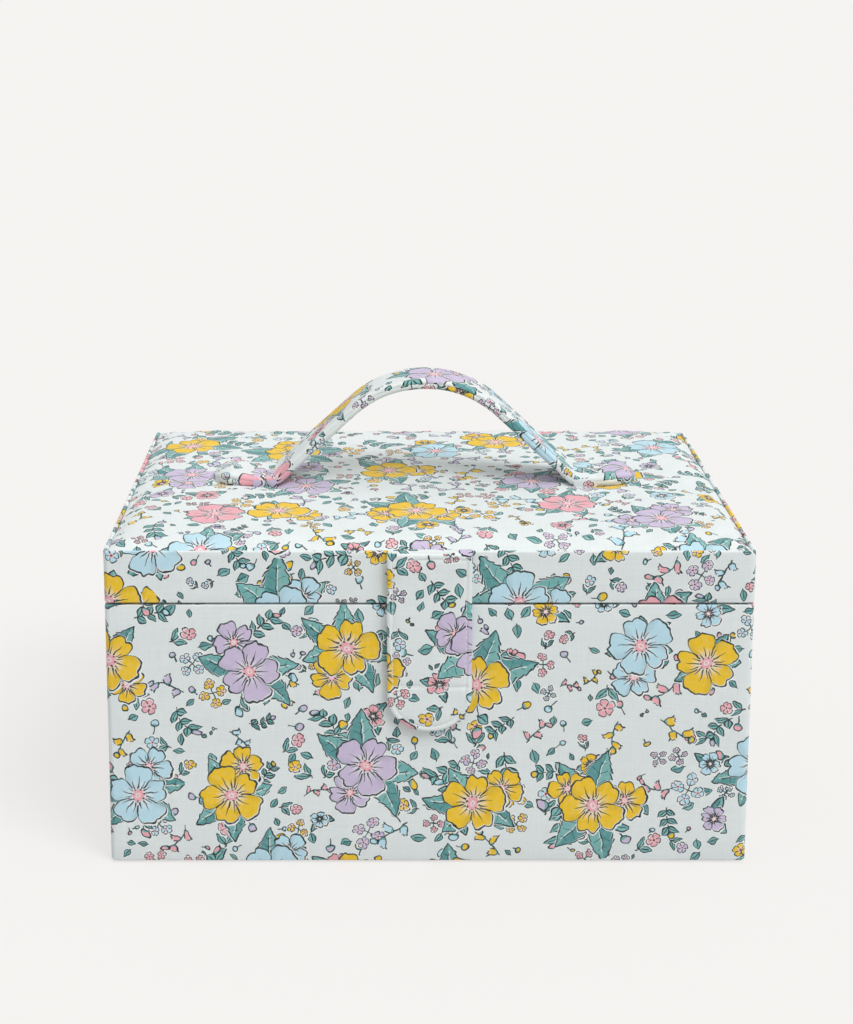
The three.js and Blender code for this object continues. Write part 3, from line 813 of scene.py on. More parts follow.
def outline(half_x, half_y, radius, counts=(26, 19), turns=6):
    """A rounded rectangle from its back left corner, anticlockwise seen from above."""
    def on_corner(side_x, side_y, degrees):
        angle = math.radians(degrees)
        x = side_x * (half_x - radius) + radius * math.cos(angle)
        return x, side_y * (half_y - radius) + radius * math.sin(angle)

    points = []
    before = (-1, 1, 180)
    for number, corner in enumerate(((-1, -1, 180), (1, -1, 270), (1, 1, 0), (-1, 1, 90))):
        side_x, side_y, start = corner
        last = on_corner(*before)
        points += [last, *stepped(last, on_corner(*corner), counts[(number + 1) % 2])]
        points += [on_corner(side_x, side_y, start + 90 * step / turns) for step in range(turns)]
        before = (side_x, side_y, start + 90)
    return points


def quarter(inset, z, radius, start, end, steps=5):
    """A fold over an edge: places on a quarter circle, in quarters of a turn."""
    turn = math.pi / 2
    angles = [turn * (start + (end - start) * step / steps) for step in range(steps + 1)]
    return [(inset + radius * math.cos(angle), z + radius * math.sin(angle)) for angle in angles]


def stepped(start, end, count):
    """Places between two, without the two themselves."""
    return [
        tuple(a + (b - a) * step / count for a, b in zip(start, end)) for step in range(1, count)
    ]


def new_piece(name, points, faces):
    """A piece with a mesh of its own."""
    mesh = bpy.data.meshes.new(name)
    mesh.from_pydata(points, [], faces)
    piece = bpy.data.objects.new(name, mesh)
    bpy.context.collection.objects.link(piece)
    return piece


def loft(name, rings, closed=True):
    """A sheet from rings of points, each joined to the next, with its cloth map from the lengths."""
    width = len(rings[0])
    points = [point for ring in rings for point in ring]
    faces = []
    spans = width if closed else width - 1
    for row in range(len(rings) - 1):
        for place in range(spans):
            after = (place + 1) % width
            low, high = row * width, (row + 1) * width
            faces.append((low + place, low + after, high + after, high + place))
    piece = new_piece(name, points, faces)
    longest = max(rings, key=lambda ring: sum(math.dist(a, b) for a, b in zip(ring, ring[1:])))
    round_it = [0.0]
    for a, b in zip(longest, [*longest[1:], longest[0]]):
        round_it.append(round_it[-1] + math.dist(a, b))
    up_it = [0.0]
    for a, b in zip(rings, rings[1:]):
        up_it.append(up_it[-1] + sum(math.dist(p, q) for p, q in zip(a, b)) / width)
    cloth = piece.data.uv_layers.new(name="cloth")
    number = 0
    for row in range(len(rings) - 1):
        for place in range(spans):
            for u, v in ((place, row), (place + 1, row), (place + 1, row + 1), (place, row + 1)):
                cloth.data[number].uv = (round_it[u], up_it[v])
                number += 1
    return piece


def choose(piece):
    """Selects one piece alone."""
    bpy.ops.object.select_all(action="DESELECT")
    piece.select_set(True)
    bpy.context.view_layer.objects.active = piece


def smooth(piece, angle=None):
    """Smooth shading, with creases kept sharper than the angle where one is given."""
    choose(piece)
    if angle is None:
        bpy.ops.object.shade_smooth()
    else:
        bpy.ops.object.shade_smooth_by_angle(angle=math.radians(angle))


def apply_modifier(piece, kind, **settings):
    """Adds a modifier and applies it."""
    choose(piece)
    modifier = piece.modifiers.new(kind.lower(), kind)
    for name, value in settings.items():
        setattr(modifier, name, value)
    bpy.ops.object.modifier_apply(modifier=modifier.name)


def thicken(piece, thickness):
    """Gives a sheet its thickness, away from the side that shows."""
    apply_modifier(piece, "SOLIDIFY", thickness=thickness, offset=-1, use_even_offset=False)


def face_way(piece, axis, way, highest=False):
    """Turns an open sheet over if its middle, or its highest face, looks the wrong way."""
    faces = piece.data.polygons
    middle = max(faces, key=lambda face: face.center.z) if highest else faces[len(faces) // 2]
    if middle.normal[axis] * way < 0:
        piece.data.flip_normals()


def make_uneven(piece, depth, pitch, keep=lambda point: 1.0):
    """Moves points along their normals by a slow noise, as glue and hand work leave a cloth."""
    normals = [vertex.normal.copy() for vertex in piece.data.vertices]
    for vertex, normal in zip(piece.data.vertices, normals):
        swell = noise.noise(vertex.co / pitch) * depth * keep(vertex.co)
        vertex.co += normal * swell
    piece.data.update()


def shift_cloth(piece, move):
    """Slides the print on a piece, so that each is cut from another place of the cloth."""
    for corner in piece.data.uv_layers["cloth"].data:
        corner.uv = (corner.uv[0] + move[0], corner.uv[1] + move[1])


def finish_piece(piece, material, body, replaced):
    """Gives a piece its material and its body if it has only one, and hides the nodes it replaces."""
    piece.data.materials.clear()
    piece.data.materials.append(material)
    if body:
        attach(piece, body)
    if replaced:
        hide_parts(*replaced)


def ringed(profile, counts=(26, 19), turns=6):
    """Rings round the box from a profile of insets and heights."""
    rings = []
    for inset, z in profile:
        radius = max(corner_radius - inset, least_radius)
        flat = outline(box_half_x - inset, box_half_y - inset, radius, counts, turns)
        rings.append([(x, y, z) for x, y in flat])
    return rings


wall_foot = (0, cover_floor + fold_radius)
wall_head = (0, body_rim - fold_radius)
profile = [
    (turn_under, cover_floor),
    (turn_under / 2, cover_floor),
    *quarter(fold_radius, cover_floor + fold_radius, fold_radius, 3, 2),
    *stepped(wall_foot, wall_head, count=12),
    *quarter(fold_radius, body_rim - fold_radius, fold_radius, 2, 1),
    *quarter(lining_face - fold_radius, body_rim - fold_radius, fold_radius, 1, 0),
    (lining_face, body_rim - turn_in / 2),
    (lining_face, body_rim - turn_in),
]
body_cover = loft("body_cover", ringed(profile))
make_uneven(body_cover, wall_unevenness, wall_wave)
thicken(body_cover, cloth_thick)
smooth(body_cover)
shift_cloth(body_cover, cover_cut)
finish_piece(body_cover, printed_cotton, "body", ["body_cover_cloth"])

# Base cloth: a sheet of plain cotton glued under the base over the cover's turned edges, set
# back a little from the outside.
base_half_x, base_half_y, base_share = 127 * mm, 92 * mm, 0.98
# The darker cotton colour stands for random clouds and slubs, and for painted shade between threads.
cotton_cream, cotton_mottle_and_shade = (0.83, 0.79, 0.72, 1), (0.62, 0.57, 0.50, 1)
plain_threads, plain_slub, plain_relief = 1900.0, 0.8, 0.2 * mm
slub_and_hollow_share, clouds_pitch, clouds_share = 0.3, 14, 0.4
plain_cotton, shader = start_material("plain cotton", roughness=0.85, sheen=0.12)
place = cloth_place(shader)
woven = use_group(shader, plain_weave, Place=place, Threads=plain_threads, Slub=plain_slub)
clouds = speckle(place, clouds_pitch, detail=3, dimensions="2D")
# The cotton darkens at random in soft clouds and thin slubs, and is painted darker in the hollows
# between its threads: painted shade.
tone = (1 - Reading(woven["Slub and hollow shade"])) * slub_and_hollow_share + (clouds - 0.5).held() * clouds_share
raised = Reading(woven["Height"])
shade_and_raise(shader, cotton_cream, cotton_mottle_and_shade, tone, raised, plain_relief)


def map_flat(piece, axes=(0, 1), move=(0, 0)):
    """A cloth map straight from two axes, for a piece that lies flat."""
    mesh = piece.data
    cloth = mesh.uv_layers.get("cloth") or mesh.uv_layers.new(name="cloth")
    for corner, loop in zip(cloth.data, mesh.loops):
        point = mesh.vertices[loop.vertex_index].co
        corner.uv = (point[axes[0]] + move[0], point[axes[1]] + move[1])


def sheet_grid(name, columns, rows, height):
    """A sheet from two lists of lines, at a height that follows the place."""
    points = [(x, y, height(x, y)) for y in rows for x in columns]
    width = len(columns)
    starts = [row * width + place for row in range(len(rows) - 1) for place in range(width - 1)]
    faces = [(start, start + 1, start + width + 1, start + width) for start in starts]
    return new_piece(name, points, faces)


def even_lines(half, count):
    """Evenly spaced lines from one edge to the other."""
    return [-half + 2 * half * step / count for step in range(count + 1)]


columns, rows = even_lines(base_half_x, count=20), even_lines(base_half_y, count=15)
base_cloth = sheet_grid("base_sheet", columns, rows, lambda x, y: cloth_thick)
map_flat(base_cloth)
thicken(base_cloth, cloth_thick * base_share)
finish_piece(base_cloth, plain_cotton, "body", ["base_cloth"])

# Body lining: a band of plain cotton glued round the inside of the walls, from the floor to the
# cover's turned edge.
lining_room = 5.4 * mm
lining_wave, lining_unevenness = 30 * mm, 0.1 * mm
head, foot = (lining_face, 100.4 * mm), (lining_face, 6.5 * mm)
profile = [head, *stepped(head, foot, count=8), foot]
body_lining = loft("body_lining", ringed(profile, turns=3))
make_uneven(body_lining, lining_unevenness, lining_wave)
thicken(body_lining, lining_face - lining_room)
smooth(body_lining, angle=40)
finish_piece(body_lining, plain_cotton, "body", ["body_lining_cloth"])

# End panels: two boards covered in the lining cotton over thin wadding, glued to the ends. The
# tray's ends rest on their upper edges.
panel_edge = 1.1 * mm


def start_block(name, low, high):
    """A plain block between two corners, open in edit mode with all of it selected."""
    bpy.ops.object.select_all(action="DESELECT")
    size = [b - a for a, b in zip(low, high)]
    middle = [(a + b) / 2 for a, b in zip(low, high)]
    bpy.ops.mesh.primitive_cube_add(size=1, location=middle, scale=size)
    block = bpy.context.object
    block.name = block.data.name = name
    bpy.ops.object.transform_apply(location=True, rotation=True, scale=True)
    bpy.ops.object.mode_set(mode="EDIT")
    bpy.ops.mesh.select_all(action="SELECT")
    return block


def covered_panel(name, low, high, edge):
    """A board with the soft round edges that a cloth cover gives it."""
    panel = start_block(name, low, high)
    bpy.ops.mesh.bevel(offset=edge, segments=4, affect="EDGES")
    bpy.ops.object.mode_set(mode="OBJECT")
    mesh = panel.data
    for layer in list(mesh.uv_layers):
        mesh.uv_layers.remove(layer)
    cloth = mesh.uv_layers.new(name="cloth")
    for face in mesh.polygons:
        normal = [abs(value) for value in face.normal]
        skip = normal.index(max(normal))
        axes = [axis for axis in (0, 1, 2) if axis != skip]
        for loop in face.loop_indices:
            point = mesh.vertices[mesh.loops[loop].vertex_index].co
            cloth.data[loop].uv = (point[axes[0]], point[axes[1]])
    smooth(panel, angle=60)
    return panel


for side in ("left", "right"):
    node = f"tray_panel_{side}"
    panel = covered_panel(f"end_panel_{side}", *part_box(node), panel_edge)
    finish_piece(panel, plain_cotton, "body", [node])

# Floor pad: a sheet of wadding under plain cotton, quilted in squares, that lies between the
# end panels. The cloth rises between the quilting lines.
pad_half_x, pad_half_y = 118.2 * mm, 88.5 * mm
pad_base, pad_edge, pad_crown = 6.5 * mm, 10.3 * mm, 1.5 * mm
quilt_pitch = 29.5 * mm
pad_edge_round = 0.9 * mm
beside_line = (0, 1.2, 2.8, 5.6, 9.8)
beside_edge = (0, 1.1, 2.6)
least_step = 0.8 * mm
quilt_hold, quilt_crease = 2.2 * mm, 1.6 * mm
rise_share, rise_reach, rim_hold, rim_reach = 0.55, 10 * mm, 1 * mm, 6 * mm
puff_share, puff_pressure, crease_share = 0.45, 3.0, 0.45
bulge_share, drop_share, pad_back_shares = 0.6, 0.3, (1, 0.9, 0.5)
puff_cloth = {
    "mass": 0.3, "tension_stiffness": 8, "compression_stiffness": 8, "shear_stiffness": 4,
    "bending_stiffness": 0.05, "shrink_min": -0.012,
}


def puff(piece, held, pressure, most, frames=20):
    """Blows a sheet up a little between the points that hold it, and keeps each move small."""
    start = [vertex.co.copy() for vertex in piece.data.vertices]
    group = piece.vertex_groups.new(name="held")
    for number, point in enumerate(start):
        group.add([number], held(point), "REPLACE")
    choose(piece)
    cloth = piece.modifiers.new("puff", "CLOTH")
    cloth.settings.vertex_group_mass = "held"
    cloth.settings.use_pressure = True
    cloth.settings.uniform_pressure_force = pressure
    cloth.settings.effector_weights.gravity = 0
    for name, value in puff_cloth.items():
        setattr(cloth.settings, name, value)
    cloth.point_cache.frame_start = 1
    cloth.point_cache.frame_end = frames
    for number in range(1, frames + 1):
        scene.frame_set(number)
    bpy.ops.object.modifier_apply(modifier=cloth.name)
    scene.frame_set(1)
    for vertex, before in zip(piece.data.vertices, start):
        move = vertex.co - before
        if move.length > most:
            vertex.co = before + move * (most / move.length)
    piece.vertex_groups.clear()


def grid_border(columns, rows):
    """The border points of a grid sheet, anticlockwise from its front left corner."""
    width, depth = len(columns), len(rows)
    border = [*range(width - 1)]
    border += [row * width + width - 1 for row in range(depth - 1)]
    border += [(depth - 1) * width + place for place in range(width - 1, 0, -1)]
    return border + [row * width for row in range(depth - 1, 0, -1)]


def open_mesh(piece):
    """A piece's mesh, laid open to be worked on."""
    work = bmesh.new()
    work.from_mesh(piece.data)
    return work


def keep_mesh(work, piece):
    """Puts a worked mesh back in its piece."""
    work.to_mesh(piece.data)
    work.free()


def close_down(piece, columns, rows, edges):
    """Carries a grid sheet on from its border, each step to where its rule puts the point."""
    work = open_mesh(piece)
    work.verts.ensure_lookup_table()
    ring = [work.verts[number] for number in grid_border(columns, rows)]
    for place_of in edges:
        after = [work.verts.new(place_of(vertex.co)) for vertex in ring]
        for number in range(len(ring)):
            beside = (number + 1) % len(ring)
            work.faces.new((ring[beside], ring[number], after[number], after[beside]))
        ring = after
    work.normal_update()
    keep_mesh(work, piece)


def dropped(z, share=1.0):
    """A rule that carries a border straight to a height, or inwards there by a share."""
    return lambda point: Vector((point.x * share, point.y * share, z))


def fill_open(piece, wanted=lambda edge: True):
    """Closes the open edges of a shell, all or those that are wanted."""
    work = open_mesh(piece)
    border = [edge for edge in work.edges if edge.is_boundary and wanted(edge)]
    bmesh.ops.contextual_create(work, geom=border)
    keep_mesh(work, piece)


def turn_out(piece):
    """Makes all faces of a closed piece point outwards."""
    work = open_mesh(piece)
    bmesh.ops.recalc_face_normals(work, faces=work.faces)
    keep_mesh(work, piece)


def quilt_lines(half, pitch):
    """Lines across a pad, close together beside each line of quilting and at the pad's edges."""
    marks = [half - step * mm for step in beside_edge]
    for number in range(int(half / pitch + 0.5)):
        line = (number + 0.5) * pitch
        marks += [line - pitch / 2, line + pitch / 2]
        marks += [line + side * step * mm for side in (-1, 1) for step in beside_line]
    kept = [half]
    for mark in sorted((mark for mark in marks if 0 < mark < half), reverse=True):
        if kept[-1] - mark > least_step:
            kept.append(mark)
    return [-mark for mark in kept] + [0.0] + kept[::-1]


def make_pad(name, half_x, half_y, edge_z, base_z, crown, pitch, up=1):
    """A quilted pad: its full side is a puffed sheet, closed down to a flat back."""
    columns = quilt_lines(half_x, pitch)
    rows = quilt_lines(half_y, pitch)

    def from_rim(x, y):
        return min(half_x - abs(x), half_y - abs(y))

    def height(x, y):
        rise = math.sin(min(1, from_rim(x, y) / rise_reach) * math.pi / 2)
        return edge_z + up * crown * rise_share * rise

    def from_line(point):
        return min(abs((value / pitch) % 1 - 0.5) * pitch for value in (point.x, point.y))

    def held(point):
        return 1.0 if from_rim(point.x, point.y) < rim_hold or from_line(point) < quilt_hold else 0.0

    pad = sheet_grid(name, columns, rows, height)
    if up < 0:
        pad.data.flip_normals()
    puff(pad, held, puff_pressure, crown * puff_share)
    if up < 0:
        pad.data.flip_normals()
    for vertex in pad.data.vertices:
        rim = min(1, from_rim(vertex.co.x, vertex.co.y) / rim_reach)
        crease = math.exp(-(from_line(vertex.co) / quilt_crease) ** 2)
        vertex.co.z -= up * crown * crease_share * crease * rim
        vertex.co.x *= (half_x - pad_edge_round) / half_x
        vertex.co.y *= (half_y - pad_edge_round) / half_y

    def bulged(out, z):
        def moved(value, half):
            at_edge = abs(value) > half - pad_edge_round
            return math.copysign(min(abs(value), half) + (out if at_edge else 0), value)
        return lambda point: Vector((moved(point.x, half_x), moved(point.y, half_y), z))

    close_down(pad, columns, rows, [
        bulged(bulge_share * pad_edge_round, edge_z - up * drop_share * pad_edge_round),
        *(dropped(base_z, share) for share in pad_back_shares),
    ])
    fill_open(pad)
    turn_out(pad)
    map_flat(pad)
    smooth(pad, angle=70)
    return pad


floor_pad = make_pad(
    "quilted_floor", pad_half_x, pad_half_y, pad_edge, pad_base, pad_crown, quilt_pitch
)
finish_piece(floor_pad, plain_cotton, "body", ["floor_pad"])

# Tray: one frosted plastic moulding with a long front compartment and three behind it. It has
# a thin wall with rounded edges, and it hangs on the end panels just under the rim.
tray_low, tray_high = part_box("tray")
tray_wall, tray_floor, tray_edge = 1.6 * mm, 1.8 * mm, 0.5 * mm
tray_corner, pocket_corner, upright_slack = 6 * mm, 4.4 * mm, 0.001 * mm
front_row_share, column_shares = 0.36, (0.4, 0.3, 0.3)
over_rim = 5 * mm
tray_shade, tray_light = (0.58, 0.625, 0.63, 1), (0.66, 0.70, 0.70, 1)
frost_grain, frost_dull, frost_gloss, frost_relief = 1400, 0.3, 0.2, 0.05 * mm
flow_grain, flow_run = 18, 3


def rounded_block(name, low, high, radius):
    """A block with rounded upright corners."""
    block = start_block(name, low, high)
    bpy.ops.mesh.select_mode(type="EDGE")
    bpy.ops.mesh.select_all(action="DESELECT")
    work = bmesh.from_edit_mesh(block.data)
    for edge in work.edges:
        run = edge.verts[0].co - edge.verts[1].co
        edge.select_set(abs(run.x) + abs(run.y) < upright_slack)
    bmesh.update_edit_mesh(block.data)
    bpy.ops.mesh.bevel(offset=radius, segments=8, affect="EDGES")
    bpy.ops.object.mode_set(mode="OBJECT")
    return block


def soften(piece, width, segments, degrees):
    """Rounds the edges that are sharper than an angle."""
    angle = math.radians(degrees)
    apply_modifier(
        piece, "BEVEL", width=width, segments=segments, limit_method="ANGLE", angle_limit=angle
    )


tray = rounded_block("tray_moulding", tray_low, tray_high, tray_corner)
inner_x, inner_y = tray_high.x - tray_wall, tray_high.y - tray_wall
row_line = -inner_y + 2 * inner_y * front_row_share
pockets = [(-inner_x, inner_x, -inner_y, row_line)]
left = -inner_x
for share in column_shares:
    right = left + (2 * inner_x - 2 * tray_wall) * share
    pockets.append((left, right, row_line + tray_wall, inner_y))
    left = right + tray_wall
for number, (west, east, south, north) in enumerate(pockets):
    low = (west, south, tray_low.z + tray_floor)
    high = (east, north, tray_high.z + over_rim)
    pocket = rounded_block(f"pocket_{number}", low, high, pocket_corner)
    apply_modifier(tray, "BOOLEAN", object=pocket, operation="DIFFERENCE", solver="EXACT")
    bpy.data.objects.remove(pocket)
soften(tray, tray_edge, segments=3, degrees=50)
smooth(tray, angle=35)
frosted_plastic, shader = start_material("frosted plastic", roughness=0.38)
place = object_place(shader)
frost = speckle(place, frost_grain, detail=2)
flow = speckle(stretched(place, (1, 1, flow_run)), flow_grain, detail=2)
link(frost * frost_gloss + frost_dull, shader.inputs["Roughness"])
shade_and_raise(shader, tray_shade, tray_light, flow, frost, frost_relief)
finish_piece(tray, frosted_plastic, "tray", ["tray"])

# Lid band: one strip of printed cotton round the lid's four sides, folded in at the rim and
# turned over the boards' upper edge, where it stands as a narrow ridge round the padded top.
lid_top = 133 * mm
lid_rim = seam_height + half_seam
lid_turn_in = 3 * mm
ridge, ridge_depth = 0.8 * mm, 2.6 * mm
band_unevenness, band_wave, band_share = 0.12 * mm, 30 * mm, 0.9
band_cut = (1.707, 0.36)
band_wall = ((0, lid_rim + fold_radius), (0, lid_top - ridge))
profile = [
    (lining_face, lid_rim + lid_turn_in),
    *quarter(lining_face - fold_radius, lid_rim + fold_radius, fold_radius, 4, 3),
    *quarter(fold_radius, lid_rim + fold_radius, fold_radius, 3, 2),
    *stepped(*band_wall, count=6),
    *quarter(ridge, lid_top - ridge, ridge, 2, 1),
    *quarter(ridge, lid_top - ridge, ridge, 1, 0)[1:],
    (2 * ridge, lid_top - ridge_depth),
]
lid_band = loft("lid_band", ringed(profile))
make_uneven(lid_band, band_unevenness, band_wave)
thicken(lid_band, band_share * cloth_thick)
smooth(lid_band)
shift_cloth(lid_band, band_cut)
finish_piece(lid_band, printed_cotton, "lid", ["lid_cover_cloth"])

# Lid wadding and top cloth: foam on the lid's top board, and printed cotton drawn over it and
# tucked down behind the band. The strap's loops hold the cloth down, and it puffs between.
tuck, tuck_depth = 1.75 * mm, 0.9 * mm
roll_rise, roll_reach = 3.2 * mm, 9 * mm
roll_steps = (0, 0.6, 1.3, 2.1, 3, 4.1, 5.4, 7)
crown_rise, crown_reach = 0.9 * mm, 36 * mm
most_puff, lid_pressure = 0.7 * mm, 4.0
lid_hold, strap_margin, leg_margin = 3 * mm, 3 * mm, 1 * mm
lid_unevenness, lid_wave, top_cut = 0.3 * mm, 34 * mm, (0.405, 0.31)
foam_floor, foam_under_cloth, foam_back_shares = 130.4 * mm, 1.1 * mm, (1, 0.8, 0.4)
# Pores are painted darker towards their deepest point, by the next gain and the darker foam colour:
# painted shade.
foam_pores, pore_shade_gain, pore_depth = 1300, 1.6, 0.4 * mm
foam_pore_shade, foam_pale = (0.62, 0.58, 0.48, 1), (0.88, 0.86, 0.79, 1)
loop_near, loop_far = 65 * mm, 75.5 * mm
loop_leg, leg_pull = 13.3 * mm, 4.5 * mm
strap_end = 93 * mm
top_half_x, top_half_y = box_half_x - tuck, box_half_y - tuck
corner_left = corner_radius - tuck


def edge_lines(half, count):
    """Lines across the lid, close together at the edges where the cloth rolls over."""
    near = [step * mm for step in roll_steps]
    middle = even_lines(half - roll_reach, count)
    return [-half + value for value in near] + middle + [half - value for value in reversed(near)]


def lid_height(x, y):
    """The padded top: it rolls up from its edges, and rises a little more to its middle."""
    height = lid_top - tuck_depth
    for rise, reach in ((roll_rise, roll_reach), (crown_rise, crown_reach)):
        insets = [max(0, half - abs(place)) for half, place in ((top_half_x, x), (top_half_y, y))]
        height += rise * math.prod(math.sin(math.pi / 2 * min(1, inset / reach)) for inset in insets)
    return height


def round_corner(x, y):
    """Moves the places near a corner of the grid on to the corner's curve."""
    a, b = top_half_x - abs(x), top_half_y - abs(y)
    inset = min(a, b)
    along = max(a, b) - inset
    radius = max(corner_left - inset, 0)
    if along >= radius:
        return x, y
    angle = math.pi / 4 * (1 - along / radius)
    if b < a:
        angle = math.pi / 2 - angle
    across_x = top_half_x - inset - radius + radius * math.cos(angle)
    across_y = top_half_y - inset - radius + radius * math.sin(angle)
    return math.copysign(across_x, x), math.copysign(across_y, y)


def lid_held(point):
    """Where the cloth can't rise: along its edge, and under the strap's ends and loops."""
    rim = min(top_half_x - abs(point.x), top_half_y - abs(point.y))
    along_strap = loop_near - strap_margin < abs(point.x) < strap_end
    under_strap = along_strap and abs(point.y) < loop_leg + leg_margin
    return 1.0 if rim < lid_hold or under_strap else 0.0


lid_columns = edge_lines(top_half_x, count=60)
lid_rows = edge_lines(top_half_y, count=44)
lid_cover = sheet_grid("lid_cover", lid_columns, lid_rows, lid_height)
for vertex in lid_cover.data.vertices:
    vertex.co.x, vertex.co.y = round_corner(vertex.co.x, vertex.co.y)
puff(lid_cover, lid_held, lid_pressure, most_puff)
for vertex in lid_cover.data.vertices:
    near_leg = math.hypot(
        max(0, loop_near - abs(vertex.co.x), abs(vertex.co.x) - loop_far), abs(vertex.co.y) - loop_leg
    )
    vertex.co.z -= most_puff * math.exp(-(near_leg / leg_pull) ** 2)
make_uneven(lid_cover, lid_unevenness, lid_wave, lambda point: 1 - lid_held(point))

wadding = sheet_grid("lid_wadding", lid_columns, lid_rows, lid_height)
for vertex, cloth_vertex in zip(wadding.data.vertices, lid_cover.data.vertices):
    vertex.co = cloth_vertex.co
    vertex.co.z -= foam_under_cloth

close_down(lid_cover, lid_columns, lid_rows, [dropped(lid_top - ridge_depth)])
map_flat(lid_cover, move=top_cut)
thicken(lid_cover, cloth_thick)
smooth(lid_cover)
finish_piece(lid_cover, printed_cotton, "lid", ["lid_cover_cloth"])

foam_back = [dropped(foam_floor, share) for share in foam_back_shares]
close_down(wadding, lid_columns, lid_rows, foam_back)
fill_open(wadding)
turn_out(wadding)
smooth(wadding, angle=60)
foam, shader = start_material("foam", roughness=0.95)
pores = shader.id_data.nodes.new("ShaderNodeTexVoronoi")
pores.inputs["Scale"].default_value = foam_pores
link(object_place(shader), pores.inputs["Vector"])
# Each pore is painted darker towards its deepest point: painted shade in the foam's hollows.
pore = Reading(pores.outputs["Distance"])
shade_and_raise(shader, foam_pore_shade, foam_pale, (pore * pore_shade_gain).held(), pore, pore_depth)
finish_piece(wadding, foam, "lid", ["lid_foam_pad"])

# Lid lining: a band of plain cotton round the lid's inner sides, and a quilted panel glued
# under its top, which also takes pins.
lid_lining_heights = (125.8 * mm, 120.2 * mm, 114.6 * mm)
panel_inset = 6.5 * mm
panel_face, panel_back, panel_crown = 121.2 * mm, 124.5 * mm, 1.6 * mm
panel_pitch = 30 * mm
profile = [(lining_face, height) for height in lid_lining_heights]
lid_lining = loft("lid_lining", ringed(profile, turns=3))
thicken(lid_lining, lining_face - lining_room)
smooth(lid_lining, angle=40)
finish_piece(lid_lining, plain_cotton, "lid", ["lid_lining_cloth"])
lid_panel = make_pad(
    "quilted_lid_panel", box_half_x - panel_inset, box_half_y - panel_inset,
    panel_face, panel_back, panel_crown, panel_pitch, up=-1,
)
finish_piece(lid_panel, plain_cotton, "lid", ["lid_lining_panel"])

# Hinge: a strip of printed cotton glued over the seam at the back, and a plain one inside. The
# cloth itself is the hinge: on the box both strips bend at the seam when the lid opens, and here
# they are built flat, with close rows at the seam.
hinge_half = 118 * mm
outer_hinge_face, outer_hinge_low, outer_hinge_high = 96.1 * mm, 92 * mm, 128 * mm
inner_hinge_face, inner_hinge_low, inner_hinge_high = 87.7 * mm, 96 * mm, 118 * mm
hinge_bend, far_rows, near_rows = 6 * mm, 10, 24
hinge_cut = (0.61, 0.02)


def hinge_strip(name, face, low, high, outward):
    """A flat strip across the seam, with many rows where the cloth bends on the box."""
    heights = sorted({
        *(low + (high - low) * step / far_rows for step in range(far_rows + 1)),
        *(seam_height - hinge_bend + 2 * hinge_bend * step / near_rows for step in range(near_rows + 1)),
    })
    heights = [z for z in heights if low <= z <= high]
    columns = even_lines(hinge_half, count=30)
    if outward:
        columns = columns[::-1]
    rings = [[(x, face, z) for x in columns] for z in heights]
    strip = loft(name, rings, closed=False)
    thicken(strip, cloth_thick)
    smooth(strip, angle=50)
    return strip


outer_hinge = hinge_strip("outer_hinge", outer_hinge_face, outer_hinge_low, outer_hinge_high, True)
shift_cloth(outer_hinge, hinge_cut)
finish_piece(outer_hinge, printed_cotton, None, ["hinge_cloth_lower", "hinge_cloth_upper"])
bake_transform(outer_hinge)
inner_hinge = hinge_strip("inner_hinge", inner_hinge_face, inner_hinge_low, inner_hinge_high, False)
inner_nodes = ["inner_hinge_lower", "inner_hinge_upper"]
finish_piece(inner_hinge, plain_cotton, None, inner_nodes)
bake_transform(inner_hinge)

# Strap: a springy plastic strip in a tube of printed cotton, closed below by a narrower strip.
# It stands in an arch, and its rounded, fuller ends lie on the lid under the loops.
strap_half, strap_thick = 12.5 * mm, 3.0 * mm
strap_floor, strap_rise = 136.5 * mm, 43.8 * mm
flank = math.radians(43)
foot_radius, foot_place = 8 * mm, loop_near + 3.2 * mm
round_end, least_width = 1.3 * strap_half, 0.02 * mm
strap_unevenness, strap_wave = 0.18 * mm, 9 * mm
tip_steps, rest_steps, bend_steps, flank_steps, crown_steps = 16, 4, 8, 10, 24
strap_cloth, under_cloth = 0.7 * mm, 0.5 * mm
end_puff, tip_height, strap_cut = 0.5, 0.62, (0.83, 0.05)
strap_side = [
    (-5.5, 0.02), (-2.5, 0.0), (-1.0, 0.02), (-0.35, 0.10), (-0.08, 0.24), (0.0, 0.40), (-0.1, 0.54),
    (-0.55, 0.62), (-0.5, 0.68), (-0.08, 0.74), (0.0, 0.83), (-0.12, 0.93), (-0.5, 0.985), (-1.4, 1.0),
]
strap_crown = [(-5, 1.03), (-9, 1.06), (-12.5, 1.07)]


def strap_stations():
    """The strap's underside from its right end to its left: place, height and slope."""
    across = foot_place * math.sin(flank) - strap_rise * math.cos(flank)
    crown_radius = across / (1 - math.cos(flank)) - foot_radius
    half = []
    for step in range(tip_steps + 1):
        reach = round_end * (1 - math.cos(step / tip_steps * math.pi / 2))
        half.append((strap_end - reach, strap_floor, 0.0))
    start = half[-1][0]
    for step in range(1, rest_steps + 1):
        half.append((start + (foot_place - start) * step / rest_steps, strap_floor, 0.0))
    for step in range(1, bend_steps + 1):
        slope = flank * step / bend_steps
        x = foot_place - foot_radius * math.sin(slope)
        half.append((x, strap_floor + foot_radius * (1 - math.cos(slope)), slope))
    foot_x, foot_z, _ = half[-1]
    arch_x = crown_radius * math.sin(flank)
    arch_z = strap_floor + strap_rise - crown_radius * (1 - math.cos(flank))
    for step in range(1, flank_steps):
        share = step / flank_steps
        half.append((foot_x + (arch_x - foot_x) * share, foot_z + (arch_z - foot_z) * share, flank))
    for step in range(crown_steps + 1):
        slope = flank * (1 - step / crown_steps)
        x = crown_radius * math.sin(slope)
        half.append((x, strap_floor + strap_rise - crown_radius * (1 - math.cos(slope)), slope))
    return half + [(-x, z, -slope) for x, z, slope in reversed(half[:-1])]


